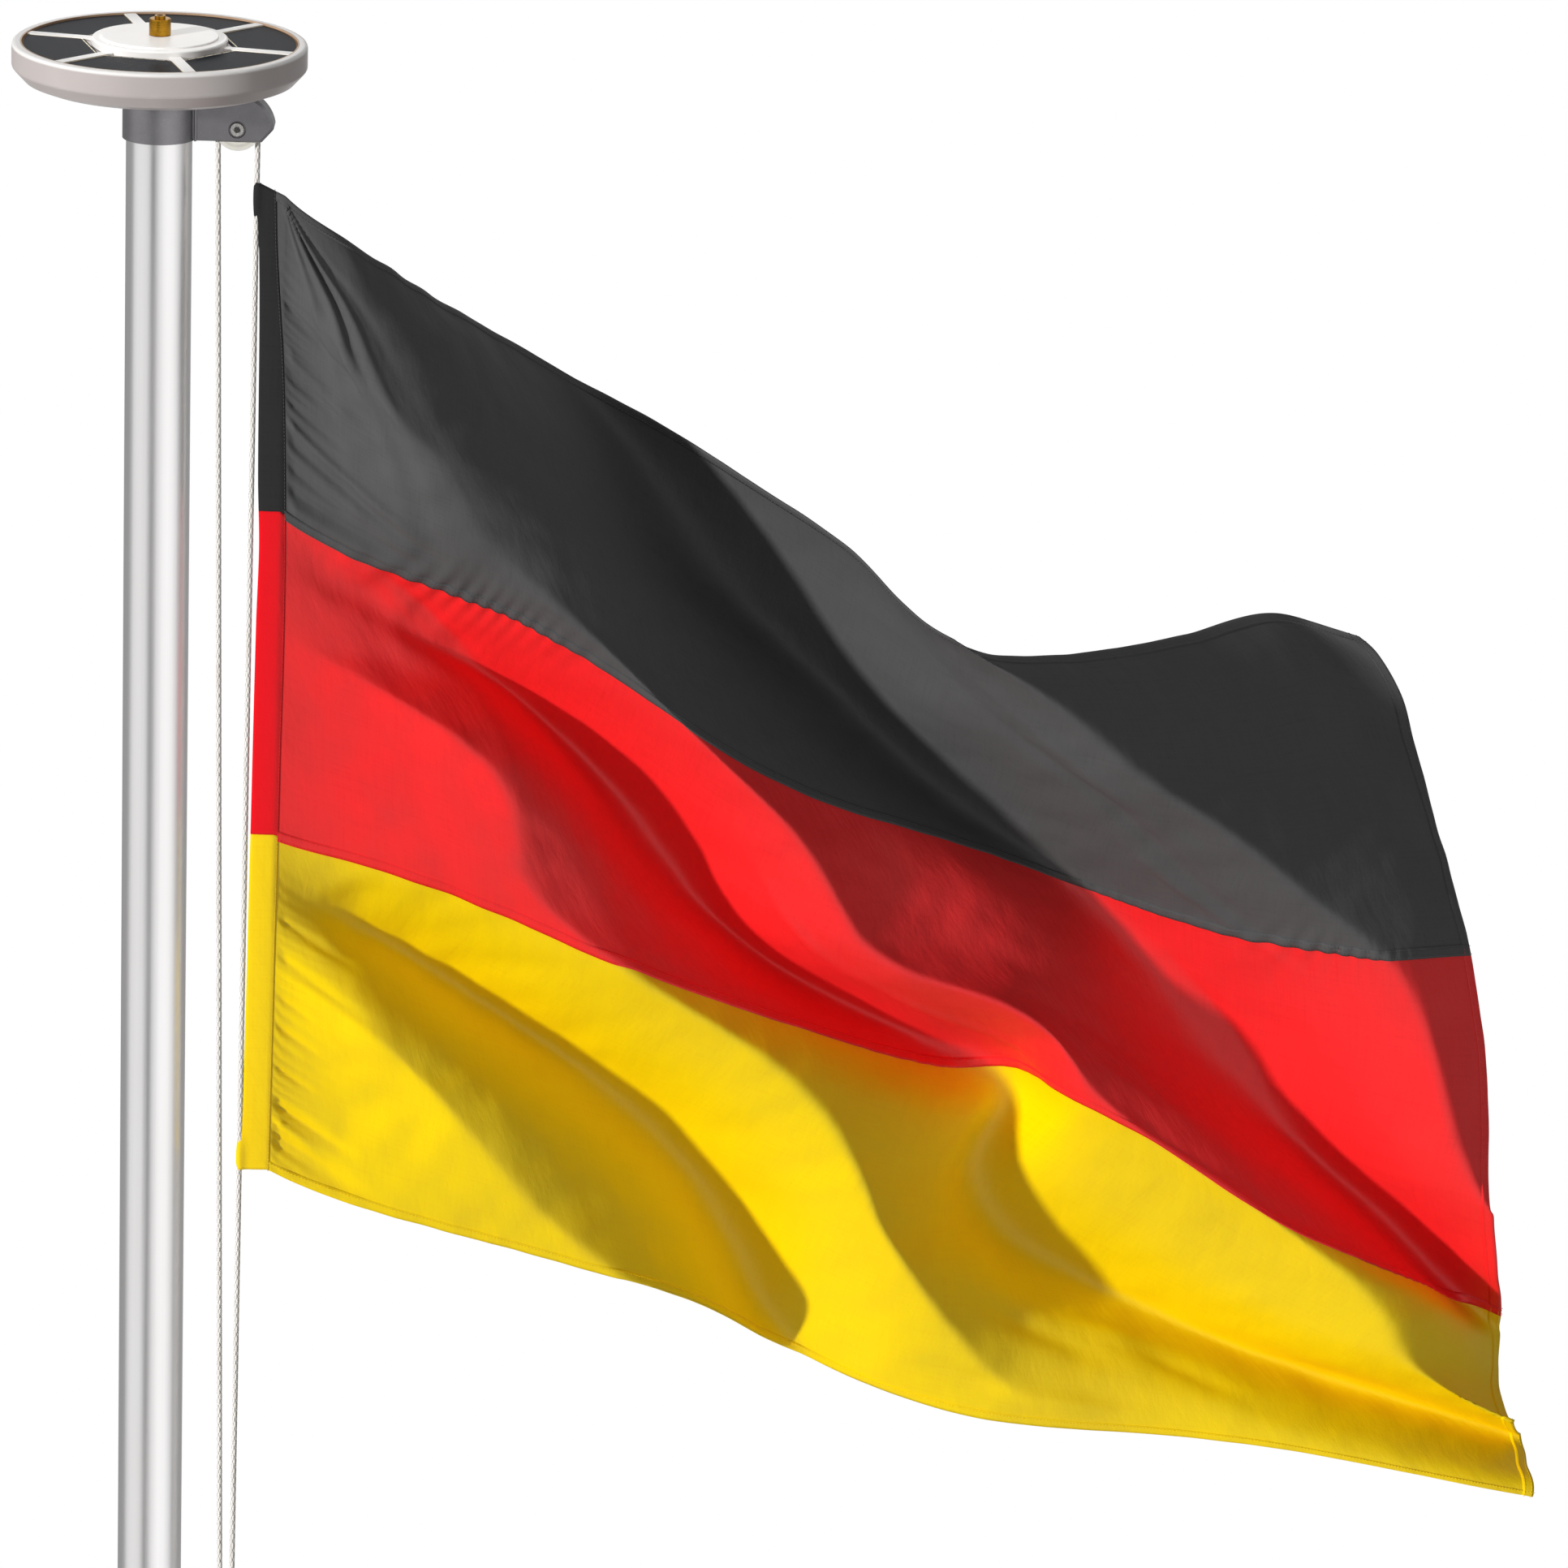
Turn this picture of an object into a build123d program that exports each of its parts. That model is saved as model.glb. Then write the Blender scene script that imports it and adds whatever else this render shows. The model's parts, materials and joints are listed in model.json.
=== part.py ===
# Garden flagpole: plug-together aluminium mast on a bolted ground flange, with a pulley cap,
# a round solar lamp on top, a halyard with a cleat and a waving three-band flag.
# Millimetres, +Z up, origin at the centre of the ground flange's underside, flag towards +X.
import math
import os
from build123d import *

# Shared values
overrun = 5.0
running_gap = 0.06
slip_gap = 0.3
seat_gap = 0.15

# Ground flange
flange_side = 200.0
flange_thick = 10.0
flange_corner_r = 16.0
anchor_spacing = 150.0
anchor_hole_r = 7.0
socket_height = 250.0
socket_wall = 4.0
socket_lip = 2.0
gusset_reach = 52.0
gusset_height = 120.0
gusset_toe = 12.0
gusset_thick = 6.0
clamp_screw_r = 4.0
clamp_head_across = 13.0
clamp_head_high = 5.5
clamp_screw_levels = (90.0, 200.0)

# Mast
mast_r = 30.0
mast_wall = 2.0
mast_top = 6200.0
section_count = 4
spigot_length = 120.0
spigot_wall = 2.0

# Pulley cap
cap_wall = 3.15
cap_bore_depth = 47.0
cap_lid = 3.0
cap_edge = 0.8
arm_thick = 25.0
arm_slot = 14.0
arm_foot_x = 93.0
arm_tip_x = 104.5
arm_tip_rise = 12.9
arm_crown_x = 68.0
arm_crown_rise = 45.0
arm_edge = 2.4
arm_nose_r = 5.5
bead_r = 1.2
recess_r = 8.0
recess_depth = 2.0

# Sheave and its axle
sheave_x = 71.0
sheave_rise = 11.5
sheave_r = 21.0
sheave_thick = 12.0
sheave_gap = 1.5
pitch_r = 18.0
groove_mouth = 8.0
hub_web = 3.0
hub_boss_r = 7.0
web_outer_r = 13.0
axle_r = 3.0
screw_head_r = 6.5
screw_head_high = 3.0
screw_slot_wide = 2.2
screw_slot_deep = 1.2
screw_slot_turn = 20.0
screw_socket_r = 3.0
screw_socket_deep = 2.0
nut_across = 10.0
nut_high = 5.0

# Solar lamp
lamp_r = 133.0
lamp_height = 37.5
lamp_foot_r = 111.0
lamp_bevel_r = 122.5
lamp_bevel_rise = 4.5
lamp_wall_rise = 16.0
lamp_rim_round = 3.5
lamp_wall_round = 4.0
well_r = 124.0
well_depth = 3.2
panel_thick = 1.8
panel_edge = 0.6
panel_chord_gap = 1.0
rib_wide = 10.5
rib_count = 6
rib_turn = -13.0
rib_below_rim = 0.6
hub_r = 61.5
hub_rise = 4.6
hub_round = 2.0
hub_disc_r = 53.0
hub_disc_rise = 1.8
led_inner_r = 42.0
led_outer_r = 104.0
led_thick = 3.0
led_proud = 0.8

# Brass nut on the lamp
brass_r = 9.8
brass_height = 15.3
brass_edge = 0.8
stub_r = 4.9
stub_height = 2.8
finial_r = 3.0
finial_depth = 14.0

# Halyard and cleat
rope_r = 2.5
knee_x = 67.0
knee_below_sheave = 1430.0
left_turn_x = 40.0
right_turn_x = 53.0
turn_above_cleat = 250.0
bend_share = 0.45
cleat_z = 1200.0
cleat_pad_high = 92.0
cleat_pad_wide = 22.0
cleat_pad_thick = 6.0
cleat_stem_high = 30.0
cleat_stem_thick = 13.0
cleat_throat = 13.0
cleat_horn_thick = 10.0
cleat_length = 136.0
cleat_horn_lift = 6.0
cleat_edge = 2.5
cleat_screw_head_r = 4.4
cleat_screw_head_high = 2.2
hitch_turn = 6.5
hitch_over = 11.0

# Flag
flag_hoist = 938.0
flag_fly = 1500.0
flag_below_arm = 42.0
cloth_thick = 2.0
hem_wide = 22.0
hem_thick = 4.0
loop_wall = 1.3
loop_height = 28.0
loop_tongue = 16.0
seam_gap = 0.7
cloth_fit = 1.0
stream_angle = 20.0

# Folds of the flag along seven level lines from the top edge to the bottom edge.
# Each pair is a place along the fly and the fold count there: even is near, odd is far.
fold_count_shares = (
    ((0.0, 4.35), (0.29, 5.0), (0.60, 6.0), (1.0, 7.1)),
    ((0.0, 3.55), (0.11, 4.0), (0.47, 5.0), (0.74, 6.0), (1.0, 6.9)),
    ((0.0, 1.6), (0.09, 2.0), (0.18, 3.0), (0.37, 4.0), (0.71, 5.0), (0.92, 6.0), (1.0, 6.4)),
    ((0.0, 1.5), (0.13, 2.0), (0.35, 3.0), (0.49, 4.0), (0.85, 5.0), (1.0, 6.0)),
    ((0.0, 1.45), (0.23, 2.0), (0.53, 3.0), (0.62, 3.9), (0.78, 4.05), (0.89, 4.4), (1.0, 5.2)),
    ((0.0, -0.45), (0.09, 0.0), (0.33, 1.0), (0.49, 2.0), (0.66, 2.8), (0.80, 3.1), (1.0, 3.8)),
    ((0.0, -0.45), (0.27, 0.0), (0.47, 1.0), (0.62, 1.8), (0.80, 2.0), (1.0, 2.2)),
)
# Depth of the folds and reach of the fly edge on the same seven lines
fold_depth_shares = (0.12, 0.09, 0.06, 0.055, 0.048, 0.053, 0.05)
reach_shares = (0.745, 0.79, 0.805, 0.82, 0.852, 0.847, 0.847)
# Drop below the hoist's top along the top edge, the two seams and the bottom edge
drop_shares = (
    ((0.0, 0.01), (0.1, 0.085), (0.3, 0.23), (0.5, 0.385), (0.6, 0.485), (0.7, 0.52), (1.0, 0.55)),
    ((0.0, 0.325), (0.1, 0.39), (0.2, 0.45), (0.4, 0.62), (0.6, 0.735), (0.8, 0.84), (1.0, 0.88)),
    ((0.0, 0.655), (0.1, 0.705), (0.3, 0.845), (0.5, 0.965), (0.6, 0.99), (0.8, 1.17), (1.0, 1.305)),
    ((0.0, 1.005), (0.1, 1.06), (0.3, 1.16), (0.5, 1.297), (0.6, 1.345), (0.8, 1.393), (1.0, 1.47)),
)
fold_flank_share = 0.97
fold_rise_share = 0.12
fold_start_share = 0.13
fold_start_power = 1.5
# The lower fly corner loses its folds and swings towards the viewer
calm_shares = (0.50, 1.0)
calm_level_shares = (0.80, 1.0)
calm_depth_share = 0.9
calm_swing_share = 0.11
least_advance_share = 0.25
fold_columns = 44
fold_rows = 7

os.makedirs("parts", exist_ok=True)

# Places that follow from the sizes
socket_bore_r = mast_r + slip_gap
socket_r = socket_bore_r + socket_wall
section_length = (mast_top - flange_thick) / section_count
mast_bore_r = mast_r - mast_wall
cap_bore_r = mast_r + seat_gap
cap_r = cap_bore_r + cap_wall
cap_bottom = mast_top - cap_bore_depth
cap_top = mast_top + cap_lid
sheave_z = cap_bottom + sheave_rise
lamp_top = cap_top + lamp_height
well_floor = lamp_top - well_depth
hub_top = lamp_top + hub_rise + hub_disc_rise
flag_top = cap_bottom - flag_below_arm
turn_z = cleat_z + turn_above_cleat
left_knee = Vector(knee_x, 0, sheave_z - knee_below_sheave)
left_turn = Vector(left_turn_x, 0, turn_z)
right_turn = Vector(right_turn_x, 0, turn_z)


def save(builder, name):
    builder.part.label = name
    export_step(builder.part, f"parts/{name}.step")


# Ground flange plate with rounded corners and four anchor holes
with BuildPart() as base_plate:
    with BuildSketch():
        RectangleRounded(flange_side, flange_side, flange_corner_r)
        with GridLocations(anchor_spacing, anchor_spacing, 2, 2):
            Circle(anchor_hole_r, mode=Mode.SUBTRACT)
    extrude(amount=flange_thick)
save(base_plate, "base_plate")

# Socket tube that the mast stands in, with a turned lip round its mouth
with BuildPart() as base_socket:
    with BuildSketch(Plane.XY.offset(flange_thick)):
        Circle(socket_r)
        Circle(socket_bore_r, mode=Mode.SUBTRACT)
    extrude(amount=socket_height)
    with BuildSketch(Plane.XY.offset(flange_thick + socket_height - socket_lip - socket_wall)):
        Circle(socket_r + socket_lip)
        Circle(socket_bore_r, mode=Mode.SUBTRACT)
    extrude(amount=socket_lip + socket_wall)
    for level in clamp_screw_levels:
        with BuildSketch(Plane.YZ.offset(-socket_r - overrun)):
            with Locations((0, flange_thick + level)):
                Circle(clamp_screw_r)
        extrude(amount=socket_r + overrun, mode=Mode.SUBTRACT)
save(base_socket, "base_socket")

# Four welded gussets between the plate and the socket, towards the plate's corners
with BuildPart() as base_gussets:
    for side in range(4):
        with BuildSketch(Plane.XZ.rotated((0, 0, 360 / 4 * (side + 1 / 2))).offset(-gusset_thick / 2)):
            with BuildLine():
                Polyline(
                    (0, flange_thick),
                    (socket_r + gusset_reach, flange_thick),
                    (socket_r + gusset_reach, flange_thick + gusset_toe),
                    (socket_r + gusset_toe, flange_thick + gusset_height),
                    (0, flange_thick + gusset_height),
                    close=True,
                )
            make_face()
        extrude(amount=gusset_thick)
    with BuildSketch(Plane.XY.offset(flange_thick)):
        Circle(socket_r)
    extrude(amount=gusset_height + overrun, mode=Mode.SUBTRACT)
save(base_gussets, "base_gussets")

# Two hexagon clamp screws that press the mast in its socket from the side away from the flag
with BuildPart() as socket_screws:
    for level in clamp_screw_levels:
        with BuildSketch(Plane.YZ.offset(-mast_r)):
            with Locations((0, flange_thick + level)):
                Circle(clamp_screw_r - seat_gap)
        extrude(amount=-(socket_r - mast_r))
        with BuildSketch(Plane.YZ.offset(-socket_r)):
            with Locations((0, flange_thick + level)):
                RegularPolygon(clamp_head_across / 2, 6, major_radius=False)
        extrude(amount=-clamp_head_high)
save(socket_screws, "socket_screws")

# Mast sections, each with a spigot in its upper end that takes the next one
section_names = ("pole_bottom_section", "pole_lower_section", "pole_upper_section", "pole_top_section")
for index, name in enumerate(section_names):
    low = flange_thick + index * section_length
    high = low + section_length
    has_spigot = index < section_count - 1
    with BuildPart() as pole_section:
        with BuildSketch(Plane.XZ):
            with BuildLine():
                if has_spigot:
                    Polyline(
                        (mast_bore_r, low),
                        (mast_r, low),
                        (mast_r, high),
                        (mast_bore_r - seat_gap, high),
                        (mast_bore_r - seat_gap, high + spigot_length),
                        (mast_bore_r - seat_gap - spigot_wall, high + spigot_length),
                        (mast_bore_r - seat_gap - spigot_wall, high - spigot_length),
                        (mast_bore_r, high - spigot_length),
                        close=True,
                    )
                else:
                    Polyline(
                        (mast_bore_r, low),
                        (mast_r, low),
                        (mast_r, high),
                        (mast_bore_r, high),
                        close=True,
                    )
            make_face()
        revolve(axis=Axis.Z)
    save(pole_section, name)

# Pulley cap: a collar over the mast's end with a slotted arm towards the flag
with BuildPart() as pulley_cap:
    with BuildSketch(Plane.XZ.offset(-arm_thick / 2)):
        with BuildLine():
            foot = (arm_foot_x, cap_bottom)
            tip = (arm_tip_x, cap_bottom + arm_tip_rise)
            crown = (arm_crown_x, cap_bottom + arm_crown_rise)
            Polyline((0, cap_bottom), foot, tip)
            TangentArc(crown, tip, tangent=(1, 0))
            Polyline(crown, (0, cap_bottom + arm_crown_rise), (0, cap_bottom))
        make_face()
    extrude(amount=arm_thick)
    fillet(pulley_cap.edges().filter_by(Axis.Y).sort_by(Axis.X)[-1], arm_nose_r)
    chamfer(pulley_cap.faces().filter_by(Axis.Y).edges(), arm_edge)
    with BuildSketch(Plane.XZ.offset(-arm_slot / 2)):
        with Locations((sheave_x, sheave_z)):
            Circle(sheave_r + sheave_gap)
        with Locations((sheave_x, cap_bottom - overrun)):
            Rectangle(2 * (sheave_r + sheave_gap), sheave_rise + overrun, align=(Align.CENTER, Align.MIN))
    extrude(amount=arm_slot, mode=Mode.SUBTRACT)
    with BuildSketch(Plane.XZ.offset(-arm_thick / 2 - overrun)):
        with Locations((sheave_x, sheave_z)):
            Circle(axle_r + running_gap)
    extrude(amount=arm_thick + 2 * overrun, mode=Mode.SUBTRACT)
    for face_y in (-1, 1):
        with BuildSketch(Plane.XZ.offset(face_y * (arm_thick / 2 - recess_depth))):
            with Locations((sheave_x, sheave_z)):
                Circle(recess_r)
        extrude(amount=face_y * (recess_depth + overrun), mode=Mode.SUBTRACT)
    with BuildSketch(Plane.XY.offset(cap_bottom)):
        Circle(cap_r)
    extrude(amount=cap_top - cap_bottom)
    fillet(pulley_cap.edges().filter_by(GeomType.CIRCLE).group_by(Axis.Z)[-1], cap_edge)
    with BuildSketch(Plane.XY.offset(cap_bottom)):
        with Locations((cap_r, -arm_thick / 2), (cap_r, arm_thick / 2)):
            Circle(bead_r)
    extrude(amount=arm_crown_rise)
    with BuildSketch(Plane.XY.offset(cap_bottom - overrun)):
        Circle(cap_bore_r)
    extrude(amount=cap_bore_depth + overrun, mode=Mode.SUBTRACT)
save(pulley_cap, "pulley_cap")

# Sheave with a round rope groove and a thinner web round its boss
with BuildPart() as pulley_wheel:
    with BuildSketch(Plane.XY.offset(sheave_z)):
        with BuildLine():
            Polyline(
                (sheave_x + axle_r + running_gap, -sheave_thick / 2),
                (sheave_x + hub_boss_r, -sheave_thick / 2),
                (sheave_x + hub_boss_r, -hub_web),
                (sheave_x + web_outer_r, -hub_web),
                (sheave_x + web_outer_r, -sheave_thick / 2),
                (sheave_x + sheave_r, -sheave_thick / 2),
                (sheave_x + sheave_r, sheave_thick / 2),
                (sheave_x + web_outer_r, sheave_thick / 2),
                (sheave_x + web_outer_r, hub_web),
                (sheave_x + hub_boss_r, hub_web),
                (sheave_x + hub_boss_r, sheave_thick / 2),
                (sheave_x + axle_r + running_gap, sheave_thick / 2),
                close=True,
            )
        make_face()
        with BuildLine():
            Polyline(
                (sheave_x + pitch_r, -rope_r - slip_gap),
                (sheave_x + sheave_r, -groove_mouth / 2),
                (sheave_x + sheave_r + overrun, -groove_mouth / 2),
                (sheave_x + sheave_r + overrun, groove_mouth / 2),
                (sheave_x + sheave_r, groove_mouth / 2),
                (sheave_x + pitch_r, rope_r + slip_gap),
                close=True,
            )
        make_face(mode=Mode.SUBTRACT)
        with Locations((sheave_x + pitch_r, 0)):
            Circle(rope_r + slip_gap, mode=Mode.SUBTRACT)
    revolve(axis=Axis((sheave_x, 0, sheave_z), (0, 1, 0)))
save(pulley_wheel, "pulley_wheel")

# Axle screw with a slotted, hollow head in the front recess
head_seat = arm_thick / 2 - recess_depth
with BuildPart() as axle_screw:
    with BuildSketch(Plane.XZ.offset(head_seat)):
        with Locations((sheave_x, sheave_z)):
            Circle(axle_r)
    extrude(amount=-2 * head_seat - nut_high - axle_r / 2)
    with BuildSketch(Plane.XZ.offset(head_seat)):
        with Locations((sheave_x, sheave_z)):
            Circle(screw_head_r)
    extrude(amount=screw_head_high)
    with BuildSketch(Plane.XZ.offset(head_seat + screw_head_high - screw_slot_deep)):
        with Locations((sheave_x, sheave_z)):
            Rectangle(screw_slot_wide, 2 * screw_head_r + overrun, rotation=screw_slot_turn)
    extrude(amount=screw_slot_deep + overrun, mode=Mode.SUBTRACT)
    with BuildSketch(Plane.XZ.offset(head_seat + screw_head_high - screw_socket_deep)):
        with Locations((sheave_x, sheave_z)):
            RegularPolygon(screw_socket_r, 6)
    extrude(amount=screw_socket_deep + overrun, mode=Mode.SUBTRACT)
save(axle_screw, "axle_screw")

# Hexagon nut on the far end of the axle
with BuildPart() as axle_nut:
    with BuildSketch(Plane.XZ.offset(-head_seat)):
        with Locations((sheave_x, sheave_z)):
            RegularPolygon(nut_across / 2, 6, major_radius=False)
            Circle(axle_r + running_gap, mode=Mode.SUBTRACT)
    extrude(amount=-nut_high)
save(axle_nut, "axle_nut")

# Lamp housing: bevelled dish with a round well on top for the panels and a ring groove below
rib_top = lamp_top - rib_below_rim
with BuildPart() as lamp_housing:
    with BuildSketch(Plane.XZ):
        with BuildLine():
            Polyline(
                (0, cap_top),
                (lamp_foot_r, cap_top),
                (lamp_bevel_r, cap_top + lamp_bevel_rise),
                (lamp_r, cap_top + lamp_wall_rise),
                (lamp_r, lamp_top),
                (well_r, lamp_top),
                (well_r, well_floor),
                (0, well_floor),
                close=True,
            )
        make_face()
    revolve(axis=Axis.Z)
    rim_edges = lamp_housing.edges().filter_by(GeomType.CIRCLE).group_by(Axis.Z)[-1]
    fillet(rim_edges.sort_by(SortBy.LENGTH)[-1], lamp_rim_round)
    wall_foot = cap_top + lamp_wall_rise
    fillet(lamp_housing.edges().filter_by_position(Axis.Z, wall_foot, wall_foot), lamp_wall_round)
    with BuildSketch(Plane.XY.offset(well_floor)):
        with PolarLocations(0, rib_count, start_angle=rib_turn):
            Rectangle(well_r, rib_wide, align=(Align.MIN, Align.CENTER))
        Circle(hub_r, mode=Mode.SUBTRACT)
    extrude(amount=rib_top - well_floor)
    with BuildSketch(Plane.XY.offset(cap_top)):
        Circle(led_outer_r)
        Circle(led_inner_r, mode=Mode.SUBTRACT)
    extrude(amount=led_thick - led_proud, mode=Mode.SUBTRACT)
save(lamp_housing, "lamp_housing")

# Diffuser ring over the lights on the underside
with BuildPart() as lamp_diffuser:
    with BuildSketch(Plane.XY.offset(cap_top - led_proud)):
        Circle(led_outer_r - seat_gap)
        Circle(led_inner_r + seat_gap, mode=Mode.SUBTRACT)
    extrude(amount=led_thick)
    fillet(lamp_diffuser.edges().group_by(Axis.Z)[0], led_proud / 2)
save(lamp_diffuser, "lamp_diffuser")

# Raised hub cover in two steps
with BuildPart() as lamp_hub_cover:
    with BuildSketch(Plane.XY.offset(well_floor)):
        Circle(hub_r - seat_gap)
    extrude(amount=hub_top - hub_disc_rise - well_floor)
    fillet(lamp_hub_cover.edges().group_by(Axis.Z)[-1], hub_round)
    with BuildSketch(Plane.XY.offset(hub_top - hub_disc_rise)):
        Circle(hub_disc_r)
    extrude(amount=hub_disc_rise)
    fillet(lamp_hub_cover.edges().group_by(Axis.Z)[-1], hub_disc_rise / 2)
save(lamp_hub_cover, "lamp_hub_cover")

# Six solar panels between the ribs, each with a straight inner edge
for number in range(rib_count):
    middle = rib_turn + 360 / rib_count * (number + 1 / 2)
    with BuildPart() as solar_panel:
        with BuildSketch(Plane.XY.rotated((0, 0, middle)).offset(well_floor)):
            Circle(well_r - seat_gap)
            with BuildLine():
                half_turn = math.radians(360 / rib_count / 2)
                inset = (rib_wide / 2 + seat_gap) / math.sin(half_turn)
                chord_x = hub_r + panel_chord_gap
                chord_y = (chord_x - inset) * math.tan(half_turn)
                side_y = (well_r - inset) * math.tan(half_turn)
                chord = ((chord_x, -chord_y), (chord_x, chord_y))
                Polyline(*chord, (well_r, side_y), (well_r, -side_y), close=True)
            make_face(mode=Mode.INTERSECT)
        extrude(amount=panel_thick)
        chamfer(solar_panel.edges().group_by(Axis.Z)[-1], panel_edge)
    save(solar_panel, f"solar_panel_{number + 1}")

# Brass nut with a short hollow stub that can take a finial
with BuildPart() as brass_nut:
    with BuildSketch(Plane.XY.offset(hub_top)):
        Circle(brass_r)
    extrude(amount=brass_height)
    chamfer(brass_nut.edges(), brass_edge)
    with BuildSketch(Plane.XY.offset(hub_top + brass_height)):
        Circle(stub_r)
    extrude(amount=stub_height)
    with BuildSketch(Plane.XY.offset(hub_top + brass_height + stub_height - finial_depth)):
        Circle(finial_r)
    extrude(amount=finial_depth + overrun, mode=Mode.SUBTRACT)
save(brass_nut, "brass_nut")

# Cleat on the mast: pad shaped to the tube, stem and two horns
throat_x = mast_r + cleat_pad_thick + cleat_throat
horn_x = throat_x + cleat_horn_thick
with BuildPart() as cleat:
    with BuildSketch(Plane.XZ.offset(-cleat_stem_thick / 2)):
        with Locations((mast_r, cleat_z)):
            Rectangle(horn_x - mast_r, cleat_stem_high, align=(Align.MIN, Align.CENTER))
        with BuildLine():
            low_tip = (throat_x + cleat_horn_lift, cleat_z - cleat_length / 2)
            high_tip = (throat_x + cleat_horn_lift, cleat_z + cleat_length / 2)
            low_nose = (horn_x + cleat_horn_lift, cleat_z - cleat_length / 2)
            high_nose = (horn_x + cleat_horn_lift, cleat_z + cleat_length / 2)
            ThreePointArc(low_tip, (throat_x, cleat_z), high_tip)
            Line(high_tip, high_nose)
            ThreePointArc(high_nose, (horn_x, cleat_z), low_nose)
            Line(low_nose, low_tip)
        make_face()
    extrude(amount=cleat_stem_thick)
    with BuildSketch(Plane.YZ):
        with Locations((0, cleat_z)):
            SlotOverall(cleat_pad_high, cleat_pad_wide, rotation=90)
    extrude(amount=mast_r + cleat_pad_thick)
    with BuildSketch(Plane.XY.offset(cleat_z - cleat_length)):
        Circle(mast_r)
    extrude(amount=2 * cleat_length, mode=Mode.SUBTRACT)
    fillet(cleat.edges().filter_by(Axis.Y).group_by(Axis.X)[-1], cleat_edge)
save(cleat, "cleat")

# Two screws in the cleat's pad
hitch_half = cleat_stem_high / 2 + hitch_over
screw_reach = (cleat_pad_high / 2 + hitch_half) / 2
with BuildPart() as cleat_screws:
    for side in (-1, 1):
        with BuildSketch(Plane.YZ.offset(mast_r + cleat_pad_thick)):
            with Locations((0, cleat_z + side * screw_reach)):
                Circle(cleat_screw_head_r)
        extrude(amount=cleat_screw_head_high)
    fillet(cleat_screws.edges().group_by(Axis.X)[-1], cleat_screw_head_high / 2)
save(cleat_screws, "cleat_screws")


def tangent_on_sheave(point, side):
    away = math.atan2(point.Z - sheave_z, point.X - sheave_x)
    distance = math.hypot(point.X - sheave_x, point.Z - sheave_z)
    turn = away + side * math.acos(pitch_r / distance)
    return Vector(sheave_x + pitch_r * math.cos(turn), 0, sheave_z + pitch_r * math.sin(turn))


def bend_radius(before, corner, after):
    run = min((corner - before).length, (after - corner).length)
    turn = math.radians((corner - before).get_angle(after - corner))
    return bend_share * run / math.tan(turn / 2)


# Halyard: one taut rope from the cleat over the sheave and back
rope_end_z = cleat_z + hitch_half + seat_gap
hitch_x = mast_r + cleat_pad_thick + cleat_throat / 2
left_end = Vector(hitch_x, -rope_r - slip_gap, rope_end_z)
right_end = Vector(hitch_x, rope_r + slip_gap, rope_end_z)
left_tangent = tangent_on_sheave(left_knee, -1)
right_tangent = tangent_on_sheave(right_turn, 1)
left_turn_bend = bend_radius(left_end, left_turn, left_knee)
left_knee_bend = bend_radius(left_turn, left_knee, left_tangent)
right_turn_bend = bend_radius(right_tangent, right_turn, right_end)
print("halyard bends", round(left_turn_bend), round(left_knee_bend), round(right_turn_bend))
with BuildPart() as halyard:
    with BuildLine() as halyard_path:
        left_bends = (left_turn_bend, left_knee_bend)
        FilletPolyline(left_end, left_turn, left_knee, left_tangent, radius=left_bends)
        ThreePointArc(left_tangent, (sheave_x, 0, sheave_z + pitch_r), right_tangent)
        FilletPolyline(right_tangent, right_turn, right_end, radius=right_turn_bend)
    with BuildSketch(Plane(left_end, z_dir=left_turn - left_end)):
        Circle(rope_r)
    sweep()
rope_length = sum(edge.length for edge in halyard_path.edges())
print("halyard length", round(rope_length), "solid against section times length")
print(round(halyard.part.volume / (math.pi * rope_r**2 * rope_length), 4))
save(halyard, "halyard")

# Turns of the halyard round the cleat, as one flat hank
with BuildPart() as halyard_hitch:
    with BuildSketch(Plane.YZ.offset(mast_r + cleat_pad_thick + slip_gap)):
        with Locations((0, cleat_z)):
            RectangleRounded(cleat_stem_thick + 2 * hitch_turn, 2 * hitch_half, hitch_turn)
            Rectangle(cleat_stem_thick + 2 * slip_gap, cleat_stem_high + 2 * slip_gap, mode=Mode.SUBTRACT)
    extrude(amount=cleat_throat - 2 * slip_gap)
save(halyard_hitch, "halyard_hitch")


def along(stations, place):
    # Smooth value between the stations of one level line
    last = len(stations) - 1
    span = 0
    while span < last - 1 and place > stations[span + 1][0]:
        span += 1
    slopes = []
    for station in (span, span + 1):
        before = stations[max(station - 1, 0)]
        after = stations[min(station + 1, last)]
        slopes.append((after[1] - before[1]) / (after[0] - before[0]))
    start, end = stations[span], stations[span + 1]
    width = end[0] - start[0]
    t = (place - start[0]) / width
    eased = start[1] * (1 + 2 * t) * (1 - t) ** 2 + end[1] * t**2 * (3 - 2 * t)
    return eased + width * t * (1 - t) * (slopes[0] * (1 - t) - slopes[1] * t)


def across(level, values):
    # Smooth value between level lines that are evenly spaced from top to bottom
    return along([(line / (len(values) - 1), value) for line, value in enumerate(values)], level)


rope_run = right_tangent - right_turn
rope_lean = rope_run.X / rope_run.Z
loop_r = rope_r + slip_gap + loop_wall


def hoist_x(z):
    return right_turn.X + (z - right_turn.Z) * rope_lean + loop_r


def ease(value, limits):
    part = min(max((value - limits[0]) / (limits[1] - limits[0]), 0), 1)
    return part**2 * (3 - 2 * part)


def hoist_z(level):
    return flag_top - across(level, [line[0][1] for line in drop_shares]) * flag_hoist


# The flag streams away at an angle: forward runs along the stream, aside lies across it
forward = Vector(1, 0, 0).rotate(Axis.Z, stream_angle)
aside = Vector(0, 1, 0).rotate(Axis.Z, stream_angle)


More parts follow.
